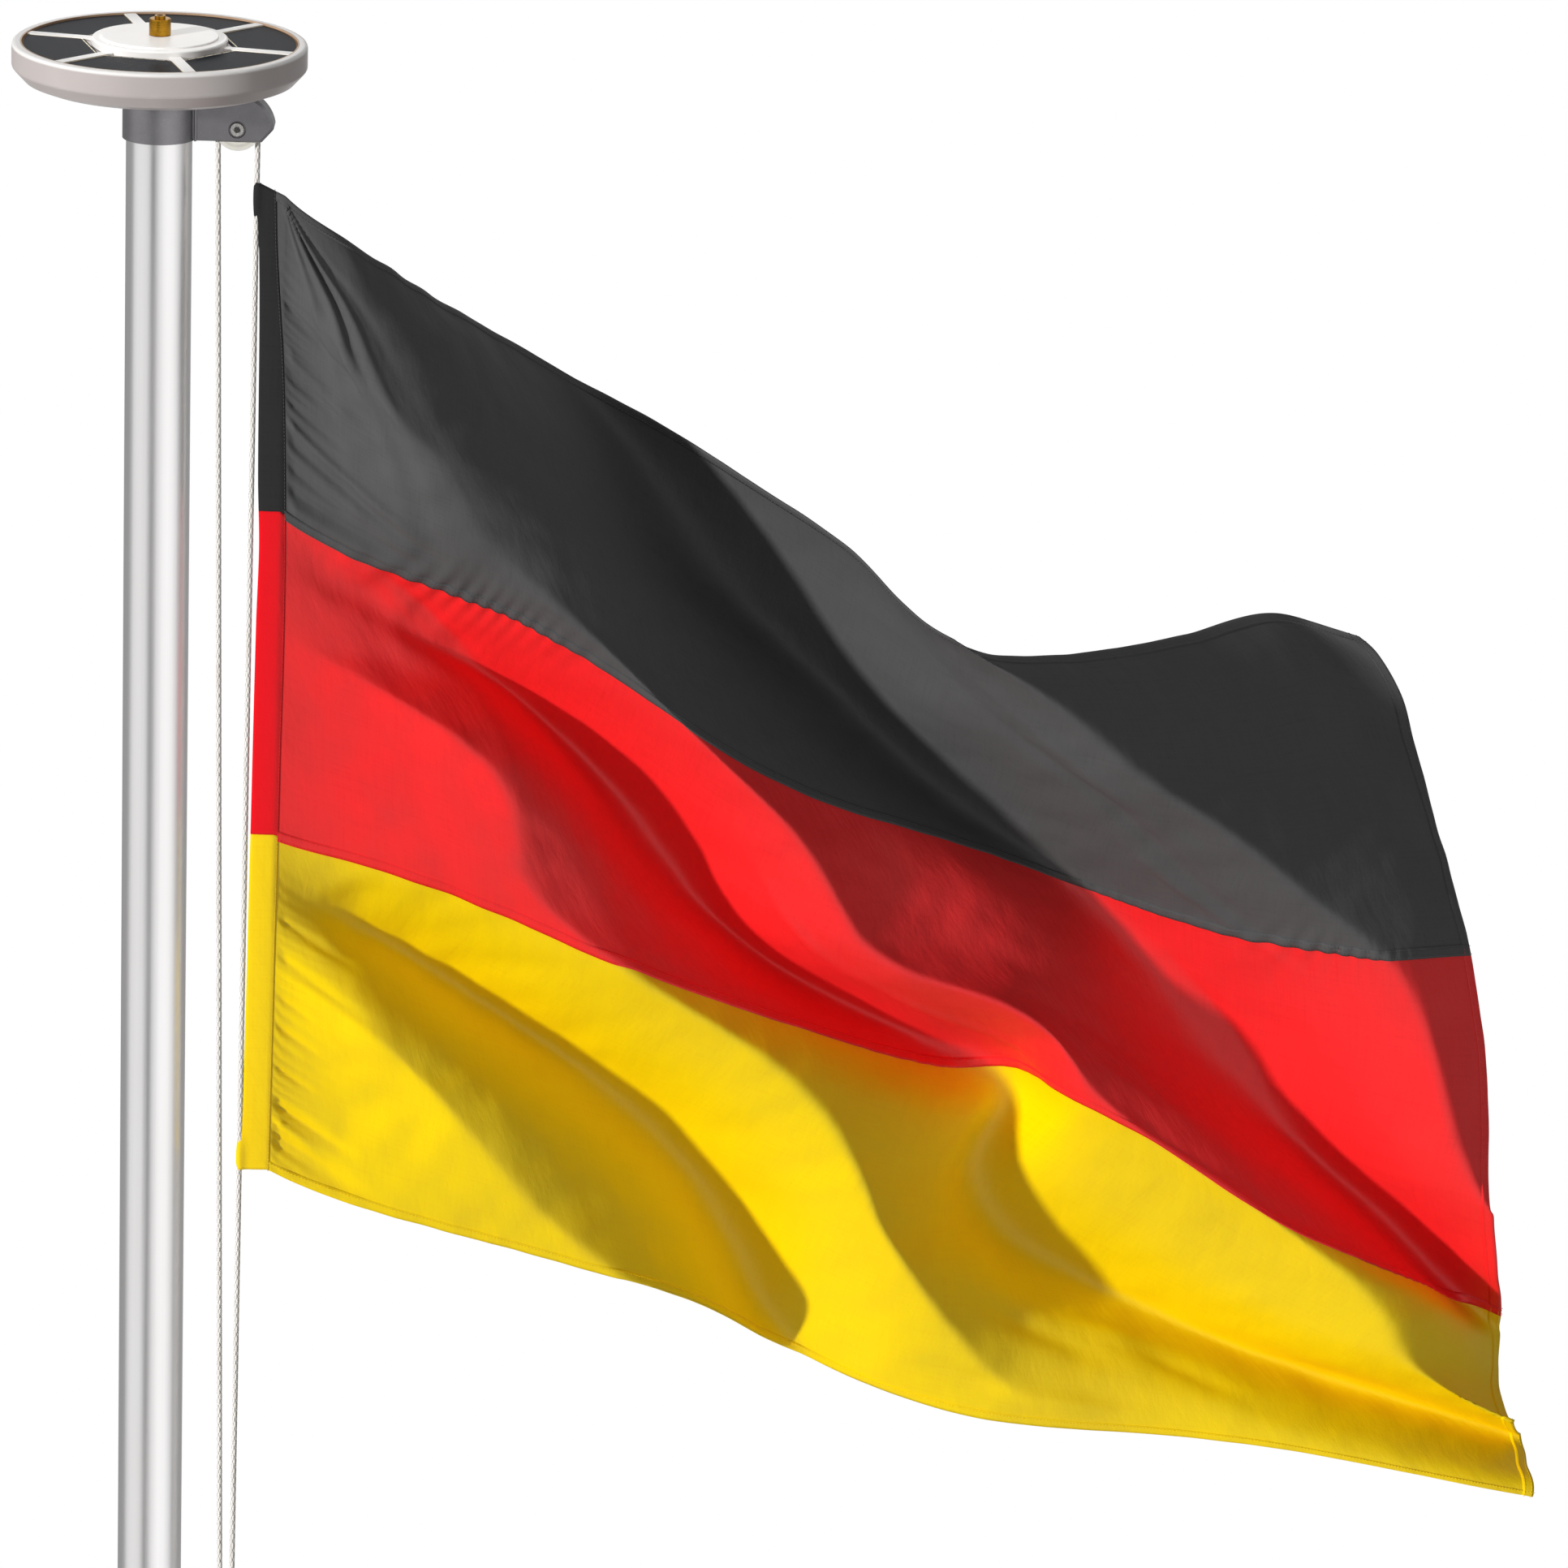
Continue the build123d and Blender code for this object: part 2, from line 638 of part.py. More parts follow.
def cloth_row(level):
    # One level line of the cloth: what it spends on folds it loses in reach
    hem_share = hem_wide / flag_fly
    step = (flag_fly - hem_wide) / fold_columns
    depth = across(level, fold_depth_shares) * flag_hoist
    advances, offsets, heights = [0], [0], [hoist_z(level)]
    for column in range(1, fold_columns + 1):
        free = column / fold_columns
        place = hem_share + (1 - hem_share) * free
        folds = across(level, [along(line, place) for line in fold_count_shares])
        wave = math.asin(fold_flank_share * math.cos(math.pi * folds)) / math.asin(fold_flank_share)
        growth = 1 - math.exp(-((free / fold_start_share) ** fold_start_power))
        calm = ease(place, calm_shares) * ease(level, calm_level_shares)
        offset = -depth * growth * wave * (1 - calm_depth_share * calm)
        offset -= calm_swing_share * flag_hoist * calm
        drop = across(level, [along(line, place) for line in drop_shares]) * flag_hoist
        height = flag_top - drop - fold_rise_share * offset
        rest = step**2 - (offset - offsets[-1]) ** 2 - (height - heights[-1]) ** 2
        advances.append(advances[-1] + math.sqrt(max(rest, (step * least_advance_share) ** 2)))
        offsets.append(offset)
        heights.append(height)
    reach = across(level, reach_shares) * flag_fly / advances[-1]
    start = Vector(hoist_x(heights[0]) + hem_wide + seat_gap, 0, 0) - aside * (cloth_thick / 2)
    start += Vector(cloth_thick / 2, 0, 0) * math.sin(math.radians(stream_angle))
    points = []
    for advance, offset, height in zip(advances, offsets, heights):
        points.append(start + forward * (advance * reach) + aside * offset + Vector(0, 0, height))
    return points


# Flag: three bands of cloth, each with its part of the stitched hoist hem
band_names = ("black", "red", "gold")
for index, name in enumerate(band_names):
    top_level = index / len(band_names) + seam_gap / flag_hoist
    bottom_level = (index + 1) / len(band_names) - seam_gap / flag_hoist
    rows = []
    for row in range(fold_rows):
        rows.append(cloth_row(top_level + (bottom_level - top_level) * row / (fold_rows - 1)))
    cloth = Face.make_surface_from_array_of_points(rows, tol=cloth_fit, smoothing=(1, 1, 1), max_deg=5)
    with BuildPart() as flag_band:
        extrude(cloth, amount=cloth_thick, dir=aside)
    save(flag_band, f"flag_{name}_band")

    high = hoist_z(top_level)
    low = hoist_z(bottom_level)
    with BuildPart() as hem:
        with BuildSketch(Plane.XZ.offset(-hem_thick / 2)):
            with BuildLine():
                Polyline(
                    (hoist_x(low), low),
                    (hoist_x(low) + hem_wide, low),
                    (hoist_x(high) + hem_wide, high),
                    (hoist_x(high), high),
                    close=True,
                )
            make_face()
        extrude(amount=hem_thick)
    save(hem, f"hem_{name}")

# Two cloth loops that carry the flag's corners on the halyard
loop_levels = {"upper": flag_top - loop_height, "lower": flag_top - flag_hoist}
for name, z in loop_levels.items():
    rope_point = Vector(hoist_x(z) - loop_r, 0, z)
    with BuildPart() as flag_loop:
        with BuildSketch(Plane(rope_point, x_dir=(1, 0, -rope_lean), z_dir=(rope_lean, 0, 1))):
            Circle(loop_r)
            with Locations((0, hem_thick / 2)):
                Rectangle(loop_r + loop_tongue, loop_wall, align=(Align.MIN, Align.MIN))
            Circle(loop_r - loop_wall, mode=Mode.SUBTRACT)
        extrude(amount=loop_height)
    save(flag_loop, f"flag_loop_{name}")
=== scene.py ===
# Looks of a garden flagpole: satin mast, pulley cap, solar lamp, braided halyard and a waving flag.
# Metres, in the part's own frame: +Z up, the flag towards +X, the photo's side at -Y.
import json
import math

import bpy
import numpy as np
from mathutils import Matrix, Vector, noise


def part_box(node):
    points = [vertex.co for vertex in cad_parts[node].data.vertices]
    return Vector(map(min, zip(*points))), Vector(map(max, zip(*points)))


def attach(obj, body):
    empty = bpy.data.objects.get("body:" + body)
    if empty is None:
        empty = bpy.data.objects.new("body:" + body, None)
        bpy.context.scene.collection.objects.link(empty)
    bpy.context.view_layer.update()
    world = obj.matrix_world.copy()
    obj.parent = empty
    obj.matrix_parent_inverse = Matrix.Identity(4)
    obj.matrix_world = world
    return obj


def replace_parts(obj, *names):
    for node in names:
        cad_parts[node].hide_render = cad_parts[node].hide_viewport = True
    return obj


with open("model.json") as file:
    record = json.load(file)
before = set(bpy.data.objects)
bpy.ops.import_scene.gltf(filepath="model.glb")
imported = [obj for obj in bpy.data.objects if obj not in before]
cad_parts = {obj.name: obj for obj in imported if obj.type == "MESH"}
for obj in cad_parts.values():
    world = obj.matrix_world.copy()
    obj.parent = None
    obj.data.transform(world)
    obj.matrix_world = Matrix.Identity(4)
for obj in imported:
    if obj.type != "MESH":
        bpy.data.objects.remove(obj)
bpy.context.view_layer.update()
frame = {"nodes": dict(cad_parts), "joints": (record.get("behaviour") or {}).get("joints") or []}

scene = bpy.context.scene
scene.view_settings.view_transform = "Standard"

# Photo camera
photo_width = 1932
photo_focal = 11000
sensor_width = 36.0
camera_place = Vector((0.57982, -7.85640, 7.99147))
camera_tilt = math.radians(17.2)
camera_roll = math.radians(1.65)
camera_sight = 300

# Places of the CAD pieces that the looks follow. A pair named edge, gap or below is where a soft
# step starts and ends.
mast_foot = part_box("pole_bottom_section")[0].z
mast_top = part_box("pole_top_section")[1].z
section_count = 4
section_length = (mast_top - mast_foot) / section_count
joint_gap = (0.0003, 0.0009)
socket_r = 0.0343
socket_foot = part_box("base_socket")[0].z
gusset_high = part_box("base_gussets")[1]
gusset_count = 4
lamp_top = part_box("lamp_housing")[1].z
lamp_wall_below = (0.0040, 0.0015)
lamp_well_r = 0.124
lamp_well_line, lamp_well_half = 0.0004, 0.0011
lamp_well_rise = 0.001
lamp_well_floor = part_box("solar_panel_1")[0].z
rib_turn = math.radians(-13)
rib_wide = 0.0105
rib_count = 6
led_count = 26
led_ring_r = 0.073
led_edge = (0.0022, 0.0042)
cover_ring_step = 0.004
finger_step = 0.0023
finger_edge = (0.04, 0.12)
busbar_step = 0.0105
busbar_gap = (0.40, 0.47)
busbar_inset, busbar_half = 0.0036, 0.00055
panel_side_edge = (0.0004, 0.0013)
panel_rim_edge = (0.1222, 0.1234)
cap_r = -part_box("pulley_cap")[0].x
arm_half = 0.0125
arm_highlight_edge = (0.0006, 0.0010)
hub_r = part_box("lamp_hub_cover")[1].x
sheave_joint = [joint for joint in frame["joints"] if joint["name"] == "sheave_spin"][0]
sheave_place = Vector(sheave_joint["pos_m"])
axle_socket_edge = (0.0024, 0.0034)
axle_ring_r, axle_ring_half = 0.0064, 0.0004
groove_inset, groove_half = 0.0015, 0.0012

# Halyard route, as in the part's source
rope_r = 0.0025
pitch_r = 0.018
left_knee = Vector((0.067, 0, 4.7345))
left_turn = Vector((0.040, 0, 1.450))
right_turn = Vector((0.053, 0, 1.450))
left_end = Vector((0.0425, -0.0028, 1.22615))
right_end = Vector((0.0425, 0.0028, 1.22615))
cleat_z = 1.200
cleat_worn_half = 0.030
hitch_low, hitch_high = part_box("halyard_hitch")
hitch_steps = 160
hitch_start, hitch_run = 112, 676
hitch_cross = (0.40, 0.56)
hitch_square = 0.6
hitch_inset_x, hitch_inset_y, hitch_inset_z = rope_r * 1.05, rope_r * 1.1, rope_r * 2.6
rope_ring_step = 0.0024
rope_sides = 14
braid_pitch = 0.0095
braid_strands = 4
braid_depth = 0.00028
braid_swell = 1.3
rope_first_side = (0.3, 1.0, 0.2)

# Flag: cut sizes as in the part's source; its folds and drops start from the source's tables
flag_hoist = 0.938
flag_fly = 1.5
flag_top = 6.111
hem_wide = 0.022
loop_r = 0.0041
rope_lean = 0.0076361
stream_angle = math.radians(20)
# Level lines from the top edge down: share of the fly, then folds so far. Even folds are crests on
# the photo's side, odd ones lie behind.
fold_count_shares = (
    ((0.0, 4.35), (0.29, 5.0), (0.60, 6.0), (1.0, 7.1)),
    ((0.0, 3.55), (0.11, 4.0), (0.47, 5.0), (0.74, 6.0), (1.0, 6.9)),
    ((0.0, 3.5), (0.31, 4.0), (0.68, 5.0), (0.91, 6.0), (1.0, 6.4)),
    ((0.0, 1.5), (0.14, 2.0), (0.34, 3.0), (0.49, 4.0), (0.82, 5.0), (0.97, 6.0), (1.0, 6.2)),
    ((0.0, 1.45), (0.23, 2.0), (0.53, 3.0), (0.62, 3.9), (0.78, 4.05), (0.89, 4.4), (1.0, 5.2)),
    ((0.0, -0.45), (0.09, 0.0), (0.33, 1.0), (0.49, 2.0), (0.62, 2.85), (0.70, 3.1), (1.0, 3.9)),
    ((0.0, -0.45), (0.27, 0.0), (0.47, 1.0), (0.62, 1.8), (0.80, 2.0), (1.0, 2.2)),
)
fold_depth_shares = (0.12, 0.095, 0.068, 0.063, 0.055, 0.061, 0.056)
reach_shares = (0.745, 0.79, 0.805, 0.82, 0.852, 0.847, 0.847)
# How far level lines hang down, in hoists, by share of the fly
drop_shares = (
    (
        (0.0, 0.01), (0.1, 0.085), (0.3, 0.23), (0.5, 0.385), (0.6, 0.485), (0.7, 0.52),
        (0.84, 0.527), (0.93, 0.524), (1.0, 0.556),
    ),
    ((0.0, 0.325), (0.1, 0.39), (0.2, 0.45), (0.4, 0.62), (0.6, 0.735), (0.8, 0.84), (1.0, 0.88)),
    ((0.0, 0.655), (0.1, 0.705), (0.3, 0.845), (0.5, 0.965), (0.6, 0.99), (0.8, 1.17), (1.0, 1.305)),
    ((0.0, 1.005), (0.1, 1.06), (0.3, 1.16), (0.5, 1.297), (0.6, 1.345), (0.8, 1.393), (1.0, 1.47)),
)
fold_flank_share = 0.955
fold_crest_share = 0.042
fold_rise_share = 0.12
fold_start_share = 0.07
fold_start_power = 1.5
pinch_level, pinch_level_spread = 0.415, 0.07
pinch_place, pinch_place_spread = 0.05, 0.13
calm_shares = (0.50, 1.0)
still_shares = (0.40, 0.75)
calm_level_shares = (0.80, 1.0)
calm_depth_share = 0.9
calm_swing_share = 0.11
# Small trims of the fly edge, in flies, by level
fly_trim_shares = (
    (0.0, 0.0034), (0.03, 0.0129), (0.06, 0.0152), (0.10, 0.0127), (0.15, 0.0044), (0.20, 0.0019),
    (0.24, -0.0027), (0.28, -0.0058), (0.32, -0.0013), (0.37, 0.0035), (0.42, 0.0067), (0.46, 0.0042),
    (0.50, -0.0019), (0.55, -0.0093), (0.60, -0.0046), (0.65, 0.0024), (0.68, 0.0086), (0.71, 0.0087),
    (0.74, 0.0053), (0.77, -0.0036), (0.80, -0.0046), (0.83, -0.0026), (0.86, 0.0066), (0.89, 0.0116),
    (0.92, 0.0113), (0.95, 0.0023), (1.0, -0.0017),
)
least_advance_share = 0.25
hem_ease_share = 0.03
corner_slope = 0.47
corner_level = 0.04
cloth_columns = 480
cloth_start = loop_r + hem_wide
cloth_end = cloth_start + flag_fly - hem_wide
cloth_thick = 0.0006
thread_pitch = 0.0011
normal_step = 0.002

# Dents beside the hem: metres down the hoist, run, length, depth and half width
cloth_dents = (
    (0.104, 0.42, 0.13, 0.0030, 0.007), (0.150, 0.36, 0.15, -0.0030, 0.008),
    (0.172, 0.15, 0.07, 0.0025, 0.004), (0.198, 0.18, 0.09, 0.0026, 0.005),
    (0.218, 0.30, 0.19, -0.0040, 0.005), (0.233, 0.30, 0.19, 0.0040, 0.006),
    (0.262, 0.20, 0.13, 0.0036, 0.006), (0.284, 0.08, 0.16, 0.0042, 0.006),
    (0.300, 0.03, 0.20, -0.0030, 0.005), (0.700, 0.34, 0.10, 0.0026, 0.005),
    (0.735, 0.36, 0.12, 0.0032, 0.006), (0.772, 0.30, 0.05, 0.0020, 0.004),
    (0.800, 0.28, 0.06, 0.0022, 0.004), (0.838, 0.26, 0.06, 0.0022, 0.004),
    (0.872, 0.25, 0.11, 0.0050, 0.006), (0.886, 0.30, 0.07, -0.0032, 0.004),
    (0.905, 0.20, 0.16, 0.0045, 0.011),
)
dent_start = 0.012
dent_hold_share = 0.4

# Free wrinkles: metres along the fly and down the hoist, turn, length, half width and depth
cloth_wrinkles = (
    (0.95, 0.850, 12, 0.060, 0.011, 0.0045), (1.04, 0.838, 4, 0.050, 0.010, -0.0040),
    (1.12, 0.862, 16, 0.060, 0.011, 0.0040), (0.88, 0.902, 8, 0.050, 0.010, 0.0045),
    (0.99, 0.912, 2, 0.060, 0.009, -0.0035), (1.06, 0.190, 33, 0.170, 0.008, 0.0055),
    (1.02, 0.135, 35, 0.150, 0.010, -0.0045), (1.16, 0.275, 30, 0.080, 0.006, -0.0035),
    (0.66, 0.470, 38, 0.070, 0.007, -0.0040), (0.79, 0.555, 36, 0.080, 0.007, -0.0040),
    (1.21, 0.420, 40, 0.070, 0.010, 0.0040), (0.20, 0.345, 24, 0.060, 0.008, 0.0045),
)

# Fan of folds from the upper hoist corner: turn in degrees and depth
fan_folds = ((33, 0.0016), (42, -0.0050), (46, 0.0030), (51, -0.0055), (63, -0.0022))
fan_peak = 0.07
fan_straight, fan_curl = 0.09, 60
fan_spread = 2.8

# Gathers beside the hem: level, strength and spread
gather_spots = (
    (0.10, 0.7, 0.04), (0.17, 1.0, 0.05), (0.25, 0.8, 0.04),
    (0.76, 0.7, 0.05), (0.86, 1.0, 0.06), (0.95, 1.5, 0.05),
)
gather_pitch, gather_run = 0.0105, 0.22
gather_sway, gather_sway_rate = 4, 43
gather_depth, gather_fade = 0.0011, 0.030
hem_beside = 0.007

# Puckers: seam number, then distance along it and strength
pucker_spots = (
    (1, 0.20, 1.0), (1, 0.30, 0.7), (1, 1.30, 1.2), (1, 1.05, 0.4), (2, 0.75, 0.5), (2, 1.35, 0.6),
)
pucker_pitch, pucker_run = 0.021, 0.5
pucker_sway, pucker_sway_rate = 5, 23
pucker_depth, pucker_fade, pucker_spread = 0.0013, 0.016, 0.09

# Flutter of the fly edge, wide billows and small crinkles
flutter_pitch, flutter_depth, flutter_fade = 0.11, 0.0030, 0.05
flutter_sway, flutter_sway_rate = 3, 9
billow_rates, billow_seed, billow_depth = (5.0, 3.0, 9.0, 4.0), 1.7, 0.0045
crinkle_rates, crinkle_seed, crinkle_depth = (21.0, 9.0, 34.0, 13.0), 6.2, 0.0011
crinkle_extra, crinkle_limits = 1.4, (0.10, 0.45)
noise_start = 0.08

# Hoist hem: distances of its two edges from the rope's axis, by level
hem_left_shares = (
    (0.0, -0.0005), (0.006, -0.0028), (0.03, -0.0022), (0.06, 0.0030), (0.3, 0.0058), (0.37, 0.0078),
    (0.45, 0.0064), (0.7, 0.0045), (0.93, 0.0018), (0.975, -0.0026), (0.994, -0.0030), (1.0, -0.0008),
)
hem_right_shares = (
    (0.0, 0.018), (0.06, 0.020), (0.2, 0.029), (0.3, 0.033), (0.4, 0.0345), (0.6, 0.032), (1.0, 0.0285),
)
hem_rows, hem_columns = 130, 15
hem_half, hem_full = 0.0006, 0.0011
hem_round_share, hem_round_power = 0.9, 0.7
hem_edge_share, hem_edge_fullness = 0.93, 0.6
hem_corner_level = 0.030
hem_swell, hem_swell_half = 0.0026, 0.0042

# Bands, seams, hems and stitches
band_rows, band_columns = 112, 380
band_column_power = 1.6
band_inset = 0.003
strip_start, strip_rows = 0.013, 4
seam_wide, seam_thick = 0.010, 0.0018
edge_hem_wide, edge_hem_thick = 0.009, 0.0015
fly_hem_wide, fly_hem_thick, fly_hem_columns = 0.013, 0.0016, 5
stitch_sizes = {"step": 0.0034, "length": 0.0024, "thickness": 0.00026}
stitch_lift, seam_stitch_lift = 0.0009, 0.0010
edge_stitch_share = 0.8
seam_stitch_shares = (-0.7, 0.7)
fly_stitch_shares = (0.2, 0.8)
hem_stitch_inset = 0.0016

# Weld beads at the foot
weld_sizes = {"step": 0.0032, "thickness": 0.0030}
weld_aside = 0.0032
weld_foot_inset, weld_top_inset = 0.003, 0.002
weld_arc = (8, 83, 2)

# Studio
ambient_low, ambient_rise = 0.19, 0.06
floor_r, floor_sides = 70, 96
floor_fade = (1.0, 3.2)
floor_shine = 0.62
plain_white = (1.0, 1.0, 1.0, 1.0)
card_profile = ((0.5, 0.01), (9, 0.012), (9, 14))
card_steps = 16
gloss_cards = {
    "left_card": (-165, -92, 0.35),
    "right_card": (84, 165, 0.35),
    "front_card": (-24, -3, 0.12),
    "right_box": (18, 64, 1.25),
}
key_towards = (0.717, 0.659, -0.225)
key_strength, key_spread = 3.25, 3
lamp_spot_place = (0, 0, 9.0)
lamp_spot_power, lamp_spot_turn = 150, 5.6
lamp_spot_blend, lamp_spot_soft = 0.3, 0.05


class Wire:
    """One socket of a node tree: maths on it is written as plain expressions."""

    def __init__(self, tree, socket=None):
        self.tree = tree
        self.socket = socket

    def node(self, kind, inputs=None, output=0, **settings):
        """Adds a node: its settings first, then the values or links of its sockets."""
        made = self.tree.nodes.new(kind)
        for name, value in settings.items():
            setattr(made, name, value)
        for key, value in (inputs or {}).items():
            if isinstance(value, Wire):
                self.tree.links.new(value.socket, made.inputs[key])
            else:
                made.inputs[key].default_value = value
        return Wire(self.tree, made.outputs[output] if len(made.outputs) else None)

    def maths(self, operation, *others):
        values = dict(enumerate((self, *others)))
        return self.node("ShaderNodeMath", values, operation=operation)

    def __add__(self, other):
        return self.maths("ADD", other)

    def __sub__(self, other):
        return self.maths("SUBTRACT", other)

    def __rsub__(self, other):
        return self.node("ShaderNodeMath", {0: other, 1: self}, operation="SUBTRACT")

    def __mul__(self, other):
        return self.maths("MULTIPLY", other)

    def __truediv__(self, other):
        return self.maths("DIVIDE", other)


def tint(text):
    """Colour that renders as the given sRGB hex digits."""
    values = [int(text[start : start + 2], 16) / 255 for start in (0, 2, 4)]
    linear = [v / 12.92 if v <= 0.04045 else ((v + 0.055) / 1.055) ** 2.4 for v in values]
    return (*linear, 1.0)


def new_finish(name):
    material = bpy.data.materials.new(name)
    material.use_nodes = True
    material.node_tree.nodes.clear()
    return material, Wire(material.node_tree)


def axes(pen, kind, count):
    place = pen.node("ShaderNodeTexCoord", output=kind)
    return [pen.node("ShaderNodeSeparateXYZ", {0: place}, output=axis) for axis in range(count)]


def solid_finish(paint, *looks, name=None):
    """A material painted by the three places in the piece's own frame."""
    material, pen = new_finish(name or paint.__name__)
    paint(pen, *axes(pen, "Object", 3), *looks)
    return material


def laid_finish(paint, *looks, name=None):
    """A material painted by the two places on a cloth or a rope."""
    material, pen = new_finish(name or paint.__name__)
    paint(pen, *axes(pen, "UV", 2), *looks)
    return material


def vector(pen, x, y, z):
    return pen.node("ShaderNodeCombineXYZ", {0: x, 1: y, 2: z})


def grain(pen, place, scale, detail=3.0, rough=0.55):
    inputs = {"Vector": place, "Scale": scale, "Detail": detail, "Roughness": rough}
    return pen.node("ShaderNodeTexNoise", inputs, output="Fac")


def stretched(pen, x, y, z, detail=3.0, rough=0.55):
    """Grain drawn out along an axis: the smaller a factor, the longer the marks."""
    return grain(pen, vector(pen, x, y, z), 1.0, detail, rough)


def soft_step(value, low, high):
    inputs = {"Value": value, "From Min": low, "From Max": high}
    return value.node("ShaderNodeMapRange", inputs, interpolation_type="SMOOTHSTEP")


def between(value, low, high):
    inputs = {"Value": value, "From Min": 0.0, "From Max": 1.0, "To Min": low, "To Max": high}
    return value.node("ShaderNodeMapRange", inputs)


def line_at(value, middle, half_width):
    """1 on a thin line round a value, 0 away from it."""
    off = (value - middle).maths("ABSOLUTE")
    return 1 - soft_step(off, half_width * 0.6, half_width * 1.4)


def from_middle(across, along):
    """Distance from the point where both places are 0."""
    return (across * across + along * along).maths("SQRT")


def from_axle(x, z):
    return from_middle(x - sheave_place.x, z - sheave_place.z)


def from_whole(value):
    """Distance from the nearest whole number."""
    return (value - value.maths("ROUND")).maths("ABSOLUTE")


def mixed(factor, first, second):
    """Blend of two colours, each a wire or sRGB hex digits."""
    first, second = [tint(c) if isinstance(c, str) else c for c in (first, second)]
    return factor.node("ShaderNodeMix", {0: factor, 6: first, 7: second}, output=2, data_type="RGBA")


def close_finish(pen, colour, roughness, height, depth, **constants):
    """Ends a material with a bump of some depth and any constants of the shader."""
    bump = {"Height": height, "Distance": depth, "Strength": 1.0}
    inputs = {"Base Color": colour, "Roughness": roughness, "Normal": pen.node("ShaderNodeBump", bump)}
    inputs.update({name.replace("_", " "): value for name, value in constants.items()})
    shader = pen.node("ShaderNodeBsdfPrincipled", inputs)
    pen.node("ShaderNodeOutputMaterial", {"Surface": shader})


def drawn_aluminium(pen, x, y, z):
    turn = y.maths("ARCTAN2", x)
    streaks = stretched(pen, x * 260, y * 260, z * 1.4, 5.0, 0.62)
    cloud = stretched(pen, x * 30, y * 30, z * 5)
    scratch = stretched(pen, turn * 90, z * 3.0, 4.0, 2.0)
    nick = soft_step(scratch, 0.70, 0.78)
    joint = (z - mast_foot) / section_length
    gap = 1 - soft_step(from_whole(joint) * section_length, *joint_gap)
    colour = mixed(streaks, "DCDBDC", "F0EFEF")
    colour = mixed(cloud * 0.35, colour, "E2DEDA")
    colour = mixed(nick * 0.35, colour, "EDEDED")
    colour = mixed(gap, colour, "3A3A3C")
    rough = between(streaks, 0.24, 0.40) + cloud * 0.06
    close_finish(pen, colour, rough, streaks * 0.6 + cloud - gap * 4, 0.00008, Metallic=1.0)


def cast_grey(pen, x, y, z):
    place = vector(pen, x, y, z)
    pits = grain(pen, place, 900.0, 2.0)
    cloud = grain(pen, place, 55.0, 4.0)
    wipe = stretched(pen, x * 40, y * 40, z * 300)
    colour = mixed(cloud, "757376", "8B898C")
    colour = mixed(soft_step(pits, 0.62, 0.74) * 0.5, colour, "A3A1A3")
    # Painted highlight: a bright thin line where the arm's faces meet the collar stands in for a glint
    # on that edge; the line is also rougher.
    from_painted_highlight = from_middle(x - cap_r, y.maths("ABSOLUTE") - arm_half)
    painted_highlight = 1 - soft_step(from_painted_highlight, *arm_highlight_edge)
    colour = mixed(painted_highlight, colour, "F4F3F2")
    rough = between(wipe, 0.34, 0.50) + painted_highlight * 0.3
    close_finish(pen, colour, rough, pits * 0.7 + wipe * 0.5, 0.00012, Metallic=0.85)


def lamp_white(pen, x, y, z):
    radius = from_middle(x, y)
    cloud = grain(pen, vector(pen, x, y, z), 26.0, 4.0)
    fine = grain(pen, vector(pen, x, y, z), 700.0, 2.0)
    mould = stretched(pen, radius * 40, z * 900, 0.0, 2.0)
    inside = soft_step(z, lamp_well_floor, lamp_well_floor + lamp_well_rise)
    # Painted shadow: a thin brown line just inside the well's rim, above its floor, stands in for the
    # shade at the step down to the panels.
    painted_well_shadow = line_at(radius, lamp_well_r + lamp_well_line, lamp_well_half) * inside
    dust = soft_step(cloud, 0.58, 0.80)
    # Painted shade: the side wall below the top is tinted a darker greyish mauve, standing in for the
    # shade on the lamp's sides.
    painted_wall_shade = 1 - soft_step(z, *[lamp_top - below for below in lamp_wall_below])
    colour = mixed(cloud, "F6F4F1", "EEEBE8")
    colour = mixed(painted_wall_shade, colour, mixed(cloud, "BFB6B3", "B5ADAA"))
    colour = mixed(dust * 0.25, colour, "CFC7C2")
    colour = mixed(painted_well_shadow * 0.85, colour, "A9835B")
    rough = between(cloud, 0.30, 0.44)
    close_finish(pen, colour, rough, fine * 0.6 + mould * 0.5, 0.00006)


def milky_cover(pen, x, y, z):
    radius = from_middle(x, y)
    turn = y.maths("ARCTAN2", x) * (led_count / (2 * math.pi))
    across = (turn - turn.maths("ROUND")) * (2 * math.pi * led_ring_r / led_count)
    spot = 1 - soft_step(from_middle(radius - led_ring_r, across), *led_edge)
    cloud = grain(pen, vector(pen, x, y, z), 90.0, 3.0)
    rings = (radius * (2 * math.pi / cover_ring_step)).maths("SINE")
    colour = mixed(cloud, "EFEFEA", "E2E2DC")
    colour = mixed(spot * 0.8, colour, "E8D36A")
    close_finish(pen, colour, between(cloud, 0.12, 0.22), rings + cloud, 0.00010, Coat_Weight=0.4)


